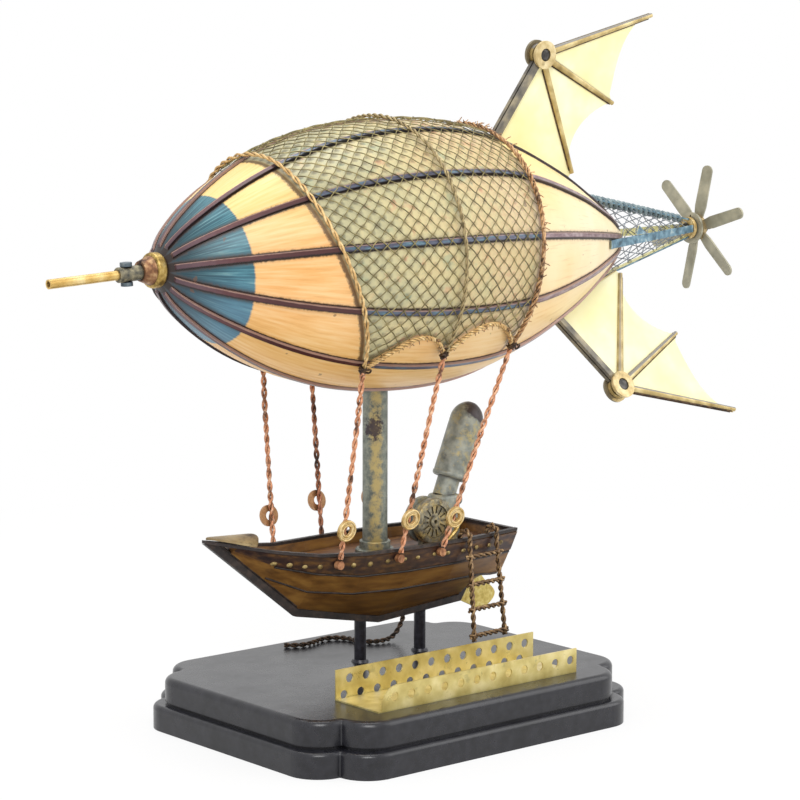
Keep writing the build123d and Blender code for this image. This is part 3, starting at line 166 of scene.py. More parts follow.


# Finishes. Each is brushed by hand over sheet metal, wire or resin, then antiqued with a dark wash, and most get
# painted shade in their corners.

def envelope_places(tree, spot):
    """Where a spot lies on the envelope: along it, around it, from the middle of a rib, and from the net's ropes."""
    split = add(tree, "ShaderNodeSeparateXYZ", {0: spot})
    x = split.outputs[0]
    across = add(tree, "ShaderNodeMath", {0: SHIP_Y, 1: split.outputs[1]}, operation="SUBTRACT").outputs[0]
    up = add(tree, "ShaderNodeMath", {0: split.outputs[2], 1: AXIS_Z}, operation="SUBTRACT").outputs[0]
    reach = add(tree, "ShaderNodeVectorMath",
                {0: add(tree, "ShaderNodeCombineXYZ", {1: across, 2: up}).outputs[0]}, operation="LENGTH")
    level = add(tree, "ShaderNodeMath", {0: up, 1: reach.outputs["Value"]}, operation="DIVIDE").outputs[0]
    turn = add(tree, "ShaderNodeMath", {0: across, 1: up}, operation="ARCTAN2").outputs[0]
    # Twelve ribs, the first 20 degrees from the top
    share = add(tree, "ShaderNodeMath", {0: turn, 1: 6 / pi, 2: 0.5 - 20 / 30}, operation="MULTIPLY_ADD")
    share = add(tree, "ShaderNodeMath", {0: share.outputs[0]}, operation="FRACT")
    share = add(tree, "ShaderNodeMath", {0: share.outputs[0], 1: -0.5}, operation="ADD")
    arc = add(tree, "ShaderNodeMath", {0: reach.outputs["Value"], 1: pi / 6}, operation="MULTIPLY")
    below = add(tree, "ShaderNodeMath", {0: share.outputs[0], 1: arc.outputs[0]}, operation="MULTIPLY").outputs[0]
    drop = add(tree, "ShaderNodeMath", {0: 1.0, 1: level}, operation="SUBTRACT").outputs[0]
    bend = add(tree, "ShaderNodeMath", {0: drop, 1: 1.6}, operation="POWER").outputs[0]
    front = add(tree, "ShaderNodeMath", {0: bend, 1: -0.0235 / 1.777**1.6, 2: x}, operation="MULTIPLY_ADD")
    rear = add(tree, "ShaderNodeMath", {0: bend, 1: 0.0084 / 1.656**1.6, 2: x}, operation="MULTIPLY_ADD")
    return {"x": x, "up": up, "level": level, "below": below, "turn": turn,
            "off": add(tree, "ShaderNodeMath", {0: below}, operation="ABSOLUTE").outputs[0],
            "front": front.outputs[0], "rear": rear.outputs[0]}


def envelope_paint():
    """Oil paint brushed over pressed sheet metal, then a dark wash: satin cream panels with long brush strokes and
    inked edges along the ribs, a streaky teal nose, and mottled khaki to orange cream under the net."""
    material, tree, shader, spot = start_material("envelope_oil_paint")
    at = envelope_places(tree, spot)
    x, level = at["x"], at["level"]
    # Brush strokes run along the panels from nose to tail: long in X, and 1.2 mm wide around
    far_along = add(tree, "ShaderNodeMath", {0: x, 1: 0.09}, operation="MULTIPLY").outputs[0]
    far_round = add(tree, "ShaderNodeMath", {0: at["turn"], 1: 0.035}, operation="MULTIPLY").outputs[0]
    strokes = add(tree, "ShaderNodeCombineXYZ", {0: far_along, 1: far_round})
    brush = add(tree, "ShaderNodeTexNoise",
                {"Vector": strokes.outputs[0], "Scale": 820.0, "Detail": 6.0, "Roughness": 0.6}).outputs[0]
    cloud = add(tree, "ShaderNodeTexNoise", {"Vector": spot, "Scale": 42.0, "Detail": 3.0}).outputs[0]
    speck = add(tree, "ShaderNodeTexNoise",
                {"Vector": spot, "Scale": 900.0, "Detail": 6.0, "Roughness": 0.8}).outputs[0]
    # Cream: orange at the nose, pale towards the tail; painted light makes it yellow at the top, and painted shade
    # makes it a darker orange low down
    along = add(tree, "ShaderNodeMapRange", {"Value": x, "From Min": -0.06, "From Max": 0.1}).outputs[0]
    shade = add(tree, "ShaderNodeMath", {0: cloud, 1: 0.8, 2: -0.4}, operation="MULTIPLY_ADD").outputs[0]
    mixed = add(tree, "ShaderNodeMath", {0: along, 1: shade}, operation="ADD").outputs[0]
    cream = add(tree, "ShaderNodeValToRGB", {"Fac": mixed},
                stops=[(0.0, "#EDB068"), (0.3, "#F4BF7C"), (0.6, "#F8D59A"), (1.0, "#FFF0CC")]).outputs[0]
    # Painted light: lighter yellow towards the top
    high = add(tree, "ShaderNodeMapRange", {"Value": level, "From Min": 0.3, "From Max": 0.95, "To Max": 0.7})
    cream = add(tree, "ShaderNodeMix", {0: high.outputs[0], 6: cream, 7: linear("#FBE08C")},
                data_type="RGBA").outputs[2]
    # Painted shade: darker orange low down
    low = add(tree, "ShaderNodeMapRange", {"Value": level, "From Min": -0.35, "From Max": -0.8, "To Max": 0.55})
    cream = add(tree, "ShaderNodeMix", {0: low.outputs[0], 6: cream, 7: linear("#D9AE62")},
                data_type="RGBA").outputs[2]
    stroke = add(tree, "ShaderNodeMapRange", {"Value": brush, "From Min": 0.42, "From Max": 0.66, "To Max": 0.35})
    cream = add(tree, "ShaderNodeMix", {0: stroke.outputs[0], 6: cream, 7: linear("#FCE3B4")},
                data_type="RGBA").outputs[2]
    ochre = add(tree, "ShaderNodeMapRange", {"Value": brush, "From Min": 0.44, "From Max": 0.3, "To Max": 0.3})
    cream = add(tree, "ShaderNodeMix", {0: ochre.outputs[0], 6: cream, 7: linear("#B9803E")},
                data_type="RGBA").outputs[2]
    # Teal nose: blue-green with pale and navy strokes, greyer blue low down
    teal = add(tree, "ShaderNodeValToRGB", {"Fac": brush},
               stops=[(0.3, "#1C4450"), (0.44, "#2F6270"), (0.57, "#4C8490"), (0.72, "#9CC2C0")]).outputs[0]
    blue = add(tree, "ShaderNodeMapRange", {"Value": level, "From Min": 0.1, "From Max": -0.6, "To Max": 0.6})
    teal = add(tree, "ShaderNodeMix", {0: blue.outputs[0], 6: teal, 7: linear("#5C829A")},
               data_type="RGBA").outputs[2]
    # Painted shade darkens the teal next to the nose ring and beside the ribs, and the strokes thin out to pale ones
    # at the edge
    # Painted shade: darker navy next to the nose ring
    ring = add(tree, "ShaderNodeMapRange", {"Value": x, "From Min": -0.068, "From Max": -0.080, "To Max": 0.75})
    teal = add(tree, "ShaderNodeMix", {0: ring.outputs[0], 6: teal, 7: linear("#122830")},
               data_type="RGBA").outputs[2]
    # Painted shade: darker navy beside each rib
    shade_by_ribs = add(tree, "ShaderNodeMath", {0: brush, 1: -0.003, 2: at["off"]}, operation="MULTIPLY_ADD")
    shade_by_ribs = add(tree, "ShaderNodeMapRange", {"Value": shade_by_ribs.outputs[0], "From Min": 0.0012, "From Max": -0.0002,
                                              "To Max": 0.8})
    teal = add(tree, "ShaderNodeMix", {0: shade_by_ribs.outputs[0], 6: teal, 7: linear("#16323E")},
               data_type="RGBA").outputs[2]
    lean = add(tree, "ShaderNodeMath", {0: at["up"], 1: 0.07, 2: x}, operation="MULTIPLY_ADD").outputs[0]
    wobble = add(tree, "ShaderNodeMath", {0: brush, 1: 0.0010, 2: lean}, operation="MULTIPLY_ADD").outputs[0]
    nose = add(tree, "ShaderNodeMapRange", {"Value": wobble, "From Min": -0.0640, "From Max": -0.0635,
                                            "To Min": 1.0, "To Max": 0.0}).outputs[0]
    colour = add(tree, "ShaderNodeMix", {0: nose, 6: cream, 7: teal}, data_type="RGBA").outputs[2]
    # Under the net, from the front rope to the rear rope and down to the swags
    behind = add(tree, "ShaderNodeMapRange", {"Value": at["front"], "From Min": -0.0478,
                                              "From Max": -0.0470}).outputs[0]
    before = add(tree, "ShaderNodeMapRange", {"Value": at["rear"], "From Min": 0.0420, "From Max": 0.0430,
                                              "To Min": 1.0, "To Max": 0.0}).outputs[0]
    # The swags hang between 141, 130 and 131 degrees from the top, and rise 14 degrees in between
    low_edge = None
    for start_x, stop_x, change in ((-0.0240, 0.0030, -11.0), (0.0030, 0.0342, 1.0)):
        share = add(tree, "ShaderNodeMapRange", {"Value": x, "From Min": start_x, "From Max": stop_x}).outputs[0]
        other = add(tree, "ShaderNodeMath", {0: share, 1: -56.0, 2: 56.0 - change}, operation="MULTIPLY_ADD")
        rise = add(tree, "ShaderNodeMath", {0: share, 1: other.outputs[0]}, operation="MULTIPLY").outputs[0]
        low_edge = rise if low_edge is None else add(tree, "ShaderNodeMath", {0: low_edge, 1: rise}).outputs[0]
    around = add(tree, "ShaderNodeMath", {0: at["turn"]}, operation="ABSOLUTE").outputs[0]
    inside = add(tree, "ShaderNodeMath", {0: around, 1: 180 / pi, 2: low_edge}, operation="MULTIPLY_ADD").outputs[0]
    above = add(tree, "ShaderNodeMapRange", {"Value": inside, "From Min": 141.3, "From Max": 140.5}).outputs[0]
    zone = add(tree, "ShaderNodeMath", {0: behind, 1: before}, operation="MULTIPLY").outputs[0]
    zone = add(tree, "ShaderNodeMath", {0: zone, 1: above}, operation="MULTIPLY").outputs[0]
    mottle = add(tree, "ShaderNodeTexNoise", {"Vector": spot, "Scale": 95.0, "Detail": 5.0,
                                              "Roughness": 0.6}).outputs[0]
    aft = add(tree, "ShaderNodeMapRange", {"Value": x, "From Min": -0.045, "From Max": 0.04}).outputs[0]
    mixed = add(tree, "ShaderNodeMath", {0: mottle, 1: 1.5, 2: -0.75}, operation="MULTIPLY_ADD").outputs[0]
    mixed = add(tree, "ShaderNodeMath", {0: mixed, 1: aft}, operation="ADD").outputs[0]
    khaki = add(tree, "ShaderNodeValToRGB", {"Fac": mixed},
                stops=[(0.0, "#A3A283"), (0.25, "#BDB892"), (0.5, "#DBCB98"), (0.75, "#E4C592"),
                       (1.0, "#EBCB9E")]).outputs[0]
    dabs = add(tree, "ShaderNodeTexNoise", {"Vector": spot, "Scale": 170.0, "Detail": 3.0}).outputs[0]
    for colour_from, colour_to, dab, most in ((0.62, 0.70, "#D98A66", 0.6), (0.38, 0.30, "#93A78C", 0.75)):
        mask = add(tree, "ShaderNodeMapRange", {"Value": dabs, "From Min": colour_from, "From Max": colour_to,
                                                "To Max": most}).outputs[0]
        khaki = add(tree, "ShaderNodeMix", {0: mask, 6: khaki, 7: linear(dab)}, data_type="RGBA").outputs[2]
    fine = add(tree, "ShaderNodeMapRange", {"Value": speck, "From Min": 0.56, "From Max": 0.68, "To Max": 0.55})
    khaki = add(tree, "ShaderNodeMix", {0: fine.outputs[0], 6: khaki, 7: linear("#6B5F44")},
                data_type="RGBA").outputs[2]
    # Paint was dabbed through the mesh: each diamond has a browner, speckled middle and clean borders
    cell = None
    for sign in (1, -1):
        lane = add(tree, "ShaderNodeMath", {0: at["turn"], 1: sign * GIRTH}, operation="MULTIPLY").outputs[0]
        lane = add(tree, "ShaderNodeMath", {0: lane, 1: x}, operation="SUBTRACT").outputs[0]
        lane = add(tree, "ShaderNodeMath", {0: lane, 1: 1 / SPACING, 2: (REACH + 0.0475) / SPACING},
                   operation="MULTIPLY_ADD").outputs[0]
        lane = add(tree, "ShaderNodeMath", {0: lane, 1: 1.0}, operation="PINGPONG").outputs[0]
        lane = add(tree, "ShaderNodeMath", {0: lane, 1: 0.5}, operation="PINGPONG").outputs[0]
        cell = lane if cell is None else add(tree, "ShaderNodeMath", {0: cell, 1: lane},
                                             operation="MULTIPLY").outputs[0]
    heart = add(tree, "ShaderNodeMath", {0: speck, 1: 0.35, 2: cell}, operation="MULTIPLY_ADD").outputs[0]
    heart = add(tree, "ShaderNodeMapRange", {"Value": heart, "From Min": 0.24, "From Max": 0.36,
                                             "To Max": 0.5}).outputs[0]
    khaki = add(tree, "ShaderNodeMix", {0: heart, 6: khaki, 7: linear("#857458")}, data_type="RGBA").outputs[2]
    border = add(tree, "ShaderNodeMapRange", {"Value": cell, "From Min": 0.10, "From Max": 0.03,
                                              "To Max": 0.4}).outputs[0]
    khaki = add(tree, "ShaderNodeMix", {0: border, 6: khaki, 7: linear("#EDE2B0")}, data_type="RGBA").outputs[2]
    colour = add(tree, "ShaderNodeMix", {0: zone, 6: colour, 7: khaki}, data_type="RGBA").outputs[2]
    # A brushed dark band with a ragged edge runs just in front of the front rope, and a thinner one at the rear
    held = add(tree, "ShaderNodeMath", {0: around, 1: radians(139)}, operation="LESS_THAN").outputs[0]
    for place, from_x, to_x, inside_mask, shade in (
        (at["front"], -0.0493, -0.0486, behind, "#3C2A1C"), (at["rear"], 0.0446, 0.0436, before, "#6A4A32"),
    ):
        ragged = add(tree, "ShaderNodeMath", {0: speck, 1: 0.0030, 2: -0.0015}, operation="MULTIPLY_ADD").outputs[0]
        ragged = add(tree, "ShaderNodeMath", {0: place, 1: ragged}).outputs[0]
        band = add(tree, "ShaderNodeMapRange", {"Value": ragged, "From Min": from_x, "From Max": to_x,
                                                "To Max": 0.85}).outputs[0]
        outside = add(tree, "ShaderNodeMath", {0: 1.0, 1: inside_mask}, operation="SUBTRACT").outputs[0]
        band = add(tree, "ShaderNodeMath", {0: band, 1: outside}, operation="MULTIPLY").outputs[0]
        band = add(tree, "ShaderNodeMath", {0: band, 1: held}, operation="MULTIPLY").outputs[0]
        colour = add(tree, "ShaderNodeMix", {0: band, 6: colour, 7: linear(shade)}, data_type="RGBA").outputs[2]
    # The wash is inked along both edges of each rib, and feathers out over the panel in specks
    jitter = add(tree, "ShaderNodeMath", {0: speck, 1: -0.0012, 2: at["off"]}, operation="MULTIPLY_ADD").outputs[0]
    line = add(tree, "ShaderNodeMapRange", {"Value": jitter, "From Min": 0.0006, "From Max": 0.0010,
                                            "To Min": 0.95, "To Max": 0.0}).outputs[0]
    haze = add(tree, "ShaderNodeMapRange", {"Value": at["off"], "From Min": 0.0009, "From Max": 0.0036,
                                            "To Min": 0.62, "To Max": 0.0}).outputs[0]
    haze = add(tree, "ShaderNodeMath", {0: haze, 1: speck}, operation="MULTIPLY").outputs[0]
    haze = add(tree, "ShaderNodeMapRange", {"Value": haze, "From Min": 0.16, "From Max": 0.42,
                                            "To Max": 0.6}).outputs[0]
    colour = add(tree, "ShaderNodeMix", {0: haze, 6: colour, 7: linear("#7A5030")}, data_type="RGBA").outputs[2]
    colour = add(tree, "ShaderNodeMix", {0: line, 6: colour, 7: linear("#241712")}, data_type="RGBA").outputs[2]
    # The dark wash and painted shade also sit in the corners by the ropes and fittings
    corner = add(tree, "ShaderNodeAmbientOcclusion", {"Distance": 2.4 * MM}, samples=8)
    corner_shade_and_wash = add(tree, "ShaderNodeMath", {0: speck, 1: 0.55, 2: corner.outputs["AO"]}, operation="MULTIPLY_ADD")
    corner_shade_and_wash = add(tree, "ShaderNodeMapRange", {"Value": corner_shade_and_wash.outputs[0], "From Min": 0.70, "From Max": 0.96,
                                            "To Min": 0.7, "To Max": 0.0}).outputs[0]
    colour = add(tree, "ShaderNodeMix", {0: corner_shade_and_wash, 6: colour, 7: linear("#3A2A22")}, data_type="RGBA").outputs[2]
    dots = add(tree, "ShaderNodeTexNoise", {"Vector": spot, "Scale": 260.0, "Detail": 2.0}).outputs[0]
    dots = add(tree, "ShaderNodeMapRange", {"Value": dots, "From Min": 0.735, "From Max": 0.76,
                                            "To Max": 0.6}).outputs[0]
    colour = add(tree, "ShaderNodeMix", {0: dots, 6: colour, 7: linear("#6B4A34")}, data_type="RGBA").outputs[2]
    relief = add(tree, "ShaderNodeBump", {"Height": brush, "Strength": 0.25, "Distance": 0.12 * MM})
    tree.links.new(colour, shader.inputs["Base Color"])
    tree.links.new(relief.outputs[0], shader.inputs["Normal"])
    shader.inputs["Roughness"].default_value = 0.38
    return material


def rib_paint():
    """Flat iron strip, painted by hand with the envelope: maroon in front, grey-pink at the nose, slate to teal under
    the net and mauve-grey behind it, with a painted highlight on the upper edges and painted shade on the lower edges."""
    material, tree, shader, spot = start_material("rib_painted_iron_strip")
    at = envelope_places(tree, spot)
    strokes = add(tree, "ShaderNodeMapping", {"Vector": spot, "Scale": (0.15, 1.0, 1.0)})
    grain = add(tree, "ShaderNodeTexNoise",
                {"Vector": strokes.outputs[0], "Scale": 700.0, "Detail": 6.0, "Roughness": 0.7}).outputs[0]
    wander = add(tree, "ShaderNodeMath", {0: grain, 1: 0.012, 2: at["x"]}, operation="MULTIPLY_ADD").outputs[0]
    colour = add(tree, "ShaderNodeValToRGB",
                 {"Fac": add(tree, "ShaderNodeMapRange", {"Value": wander, "From Min": -0.084,
                                                          "From Max": -0.05}).outputs[0]},
                 stops=[(0.0, "#40303A"), (0.35, "#644A50"), (0.6, "#5A3436"), (1.0, "#4C2828")]).outputs[0]
    under = add(tree, "ShaderNodeValToRGB", {"Fac": grain},
                stops=[(0.35, "#3A3848"), (0.5, "#5C5F70"), (0.6, "#4F7080"), (0.7, "#8A9AA0")]).outputs[0]
    after = add(tree, "ShaderNodeValToRGB", {"Fac": grain},
                stops=[(0.35, "#6A4E52"), (0.5, "#8C7478"), (0.66, "#B09C9C")]).outputs[0]
    for place, edge, paint in ((at["front"], -0.0475, under), (at["rear"], 0.0426, after)):
        past = add(tree, "ShaderNodeMapRange", {"Value": place, "From Min": edge - 0.0006,
                                                "From Max": edge + 0.0006}).outputs[0]
        colour = add(tree, "ShaderNodeMix", {0: past, 6: colour, 7: paint}, data_type="RGBA").outputs[2]
    # Painted light: each rib is lighter along its upper edge as a painted highlight, and darker along its lower edge
    # as painted shade
    side = add(tree, "ShaderNodeMath", {0: at["turn"]}, operation="SIGN").outputs[0]
    down = add(tree, "ShaderNodeMath", {0: at["below"], 1: side}, operation="MULTIPLY").outputs[0]
    down = add(tree, "ShaderNodeMath", {0: grain, 1: 0.0006, 2: down}, operation="MULTIPLY_ADD").outputs[0]
    wear_and_highlight = add(tree, "ShaderNodeMapRange", {"Value": down, "From Min": -0.0002, "From Max": -0.0005,
                                            "To Max": 0.75}).outputs[0]
    colour = add(tree, "ShaderNodeMix", {0: wear_and_highlight, 6: colour, 7: linear("#B89484")}, data_type="RGBA").outputs[2]
    # Painted shade along the lower edge
    painted_shade = add(tree, "ShaderNodeMapRange", {"Value": down, "From Min": 0.0008, "From Max": 0.0011,
                                            "To Max": 0.85}).outputs[0]
    colour = add(tree, "ShaderNodeMix", {0: painted_shade, 6: colour, 7: linear("#1E1418")}, data_type="RGBA").outputs[2]
    relief = add(tree, "ShaderNodeBump", {"Height": grain, "Strength": 0.3, "Distance": 0.12 * MM})
    tree.links.new(colour, shader.inputs["Base Color"])
    tree.links.new(relief.outputs[0], shader.inputs["Normal"])
    shader.inputs["Roughness"].default_value = 0.32
    shader.inputs["Metallic"].default_value = 0.2
    return material


finishes = {
    "envelope": envelope_paint(),
    "rib": rib_paint(),
    # Thin iron wire woven to a mesh: dull olive brown with lighter worn crossings
    "net_wire": antiqued("net_woven_iron_wire", ("#5A5238", "#827850", "#AC9E6C"), "#3A3220", metallic=0.5,
                         grain_mm=2.4, shade_and_wash=0.0),
    # Drawn wire, twisted in pairs and left bright tan, with painted shade and the wash between the strands
    "rope_tan": antiqued("rope_twisted_brass_wire", ("#B08850", "#D6B074", "#F0D6A0"), "#4A3420", metallic=0.3,
                         shade_and_wash=0.9, shade_and_wash_mm=0.6, stain_from=0.62, stain_to=0.75),
    "rope_khaki": antiqued("rope_twisted_nickel_wire", ("#7C7050", "#A8946A", "#C8B88C"), "#3A3020",
                           metallic=0.4, shade_and_wash=0.8, shade_and_wash_mm=0.6),
    "rope_brown": antiqued("rope_frayed_copper_wire", ("#8A6440", "#BC8E60", "#E4C294"), "#3C281C",
                           metallic=0.25, shade_and_wash=0.9, shade_and_wash_mm=0.6, stain_from=0.5, stain_to=0.64, stain_mm=4.0),
    "knot": antiqued("knot_blackened_wire", ("#2A1E18", "#4A3626", "#7A5C3C"), "#16100E", metallic=0.4,
                     shade_and_wash=0.8, shade_and_wash_mm=0.6),
    # Soft copper wire in twisted pairs: orange pink where handled, brown where the wash stayed, with painted shade
    # between the strands
    "rope_copper": antiqued("rope_twisted_copper_wire", ("#A86C48", "#DC9A72", "#F6CBA8"), "#4E3426",
                            metallic=0.2, shade_and_wash=0.85, shade_and_wash_mm=0.6, stain_from=0.50, stain_to=0.64, stain_mm=5.0),
    "rope_patina": antiqued("rope_patina_copper_wire", ("#8A5844", "#C08060", "#E6AC88"), "#3E2C26",
                            metallic=0.35, shade_and_wash=0.8, shade_and_wash_mm=0.6, stain_from=0.46, stain_to=0.60,
                            stain_mm=5.0),
    # Brass wire twisted for the ladder: olive brown with gold on the outside of each turn, and painted shade between
    # the turns
    "ladder": antiqued("ladder_twisted_brass_wire", ("#4A3626", "#7E6244", "#BC9C70"), "#241A16",
                       metallic=0.4, shade_and_wash=0.9, shade_and_wash_mm=0.7),
    # Waxed two-strand twine: soft, brown black, with coppery fibres on the outside
    "cord": antiqued("cord_waxed_twine", ("#2C2620", "#4E4034", "#8A6A50"), "#1A1614", metallic=0.0,
                     roughness=(0.6, 0.85), grain_mm=0.8, shade_and_wash=0.9, shade_and_wash_mm=0.5),
    # Painted tin: satin golden brown with brushed streaks along the planks, and painted shade with the wash darkening
    # its corners, as at bow and stern
    "hull": antiqued("hull_painted_tin", ("#5E3E1C", "#7C5628", "#956C34"), "#2E1E18", metallic=0.05,
                     roughness=(0.28, 0.45), stain_mm=16.0, stain_from=0.58, stain_to=0.76,
                     stretch=(0.2, 1, 1), shade_and_wash=0.95, shade_and_wash_mm=2.0, grain_mm=2.6),
    "foredeck": antiqued("foredeck_painted_tin", ("#7E6A48", "#937E58", "#AC986C"), "#3A2A1C", metallic=0.1,
                         grain_mm=6.0, shade_and_wash=0.9, shade_and_wash_mm=1.6),
    "deck": antiqued("deck_painted_tin", ("#4A2C1A", "#6A4424", "#8A6236"), "#241A1A", metallic=0.1,
                     stretch=(0.2, 1, 1), grain_mm=3.0),
    # Black paint on iron: satin, blue-black, with a few worn spots on the edges
    "iron": antiqued("iron_black_paint", ("#17161C", "#23222A", "#34333C"), "#0E0D12", metallic=0.3,
                     roughness=(0.22, 0.4), shade_and_wash=0.3, rub="#7A7468", rub_from=0.66, rub_mm=4.0),
    "rim": antiqued("rim_brown_black_paint", ("#1C1615", "#2A211F", "#43352E"), "#100C0C", metallic=0.1,
                    roughness=(0.38, 0.6), shade_and_wash=0.3, grain_mm=2.2),
    "band": antiqued("band_dark_washed_tin", ("#2A1C1C", "#402A22", "#6A4A28"), "#1C1416", metallic=0.15,
                     roughness=(0.3, 0.5), stretch=(0.3, 1, 1)),
    # Cast and turned metal with a green-grey patina, rubbed through to gold in dapples
    "engine": antiqued("engine_patina_casting", ("#6C706A", "#8E928A", "#ACAEA0"), "#4E484C", metallic=0.25,
                       stain_from=0.62, stain_to=0.72, rub="#BDAA6E", rub_from=0.51, rub_mm=5.0, shade_and_wash=0.8,
                       bump=0.3, grain_mm=3.0,
                       burnt=(tuple(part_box("engine_cylinder")[1][i] - m * MM for i, m in enumerate((5, 8, 4))),
                              5.0 * MM)),
    "flywheel": antiqued("flywheel_patina_brass", ("#625E52", "#8A8472", "#AEA68A"), "#2E2A22", metallic=0.45,
                         rub="#CDB472", rub_from=0.48, rub_mm=4.0, shade_and_wash=0.9, shade_and_wash_mm=1.2, bump=0.4),
    "brass": antiqued("brass_antiqued_turning", ("#7E6634", "#B0924E", "#D6BC7A"), "#3A2E20", metallic=0.7,
                      roughness=(0.28, 0.5), shade_and_wash=0.8),
    "spear": antiqued("spear_satin_brass_rod", ("#C09A50", "#DDBB74", "#F2DCA4"), "#7A5C34", metallic=0.6,
                      roughness=(0.25, 0.4), stain_from=0.66, stain_to=0.8, grain_mm=6.0, shade_and_wash=0.4, bump=0.08),
    "stud": antiqued("stud_dull_brass_dome", ("#6E5A32", "#988250", "#C4AE78"), "#2E2218", metallic=0.5,
                     shade_and_wash=0.9, shade_and_wash_mm=0.9),
    "gold": antiqued("gold_washed_stamping", ("#C09C5A", "#DCBE80", "#F2DCAC"), "#6A5030", metallic=0.4,
                     roughness=(0.3, 0.5), shade_and_wash=0.8, shade_and_wash_mm=1.0, far_side=("#A87450", 30 * MM)),
    "steel": antiqued("steel_blackened_screw", ("#2E2C2C", "#4A4846", "#6E6A66"), "#161414", metallic=0.8),
    "slate": antiqued("slate_painted_fitting", ("#3A4650", "#55626A", "#7A8488"), "#22262C", metallic=0.4,
                      shade_and_wash=0.8),
    # Punched brass strip: pale yellow gold, with olive tarnish in streaks, and olive painted shade round the holes
    "channel": antiqued("channel_punched_brass", ("#BFAA60", "#D8C67E", "#EEDEA0"), "#8A8454", metallic=0.4,
                        roughness=(0.25, 0.45), grain_mm=6.0, bump=0.1, stain_from=0.60, stain_to=0.80, shade_and_wash=0.7, shade_and_wash_mm=0.9),
    # Lacquered cloth or paper skin: flat cream yellow, with tan painted shade where it meets the rods
    "wing_skin": antiqued("wing_cream_lacquered_skin", ("#F8EFAE", "#FCF5BE", "#FFFCD4"), "#C8A860",
                          metallic=0.0, roughness=(0.4, 0.55), stain_from=0.74, stain_to=0.84, shade_and_wash=0.55,
                          shade_and_wash_mm=1.2, grain_mm=14.0, bump=0.05),
    "finger": antiqued("finger_half_round_brass", ("#9A8450", "#C2AB72", "#E4D29C"), "#4E4028", metallic=0.4,
                       shade_and_wash=0.9, shade_and_wash_mm=0.9, grain_mm=5.0, stain_from=0.66, facing_up="#8E8A84"),
    "arm": antiqued("arm_painted_steel_strip", ("#5A5752", "#7C766A", "#A89C80"), "#3A342C", metallic=0.35,
                    shade_and_wash=0.6, grain_mm=5.0, stain_from=0.66),
    "upper_washers": antiqued("washer_stamped_brass", ("#B49C66", "#D2BC88", "#EAD9AC"), "#5A4A30", metallic=0.4,
                              shade_and_wash=0.8, shade_and_wash_mm=1.0, grain_mm=3.0,
                              far_side=("#5A564C", sum(c[1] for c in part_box("upper_wing_washers")) / 2)),
    "lower_washers": antiqued("washer_stamped_brass_low", ("#B49C66", "#D2BC88", "#EAD9AC"), "#5A4A30",
                              metallic=0.4, shade_and_wash=0.8, shade_and_wash_mm=1.0, grain_mm=3.0,
                              far_side=("#5A564C", sum(c[1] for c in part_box("lower_wing_washers")) / 2)),
    "far_ring": antiqued("ring_browned_copper", ("#7A4E34", "#A87450", "#D09C72"), "#3A2820", metallic=0.4,
                         shade_and_wash=0.8, shade_and_wash_mm=1.0),
    "propeller": antiqued("propeller_cast_pewter", ("#8E8A76", "#A29E8A", "#BAB49C"), "#6A624C", metallic=0.3,
                          roughness=(0.35, 0.55), stain_mm=12.0, grain_mm=5.0, bump=0.08,
                          stain_from=0.64, stain_to=0.84, middle=("#B8A070", (0.1585, 0.0131, 0.1559), 5.6 * MM)),
    "rudder": antiqued("rudder_brass_sheet", ("#C0A650", "#DCC46C", "#EFE09A"), "#5A4624", metallic=0.4,
                       stain_from=0.62, stain_to=0.72),
    "nose_brown": antiqued("nose_turned_browned_brass", ("#5A3A28", "#8A6040", "#B8946A"), "#2A1A16",
                           metallic=0.5, shade_and_wash=0.9, shade_and_wash_mm=1.0),
    "collar": antiqued("collar_turned_grey_brass", ("#4E4E48", "#77715E", "#A2987A"), "#2A2622",
                       metallic=0.5, shade_and_wash=0.8),
    # Black lacquer over moulded resin: smooth, with a soft grey sheen
    "plinth": antiqued("plinth_black_lacquer", ("#15151A", "#1E1E24", "#26262C"), "#0E0E12", metallic=0.0,
                       roughness=(0.22, 0.34), grain_mm=3.0, stain_mm=30.0, bump=0.12, shade_and_wash=0.0),
}


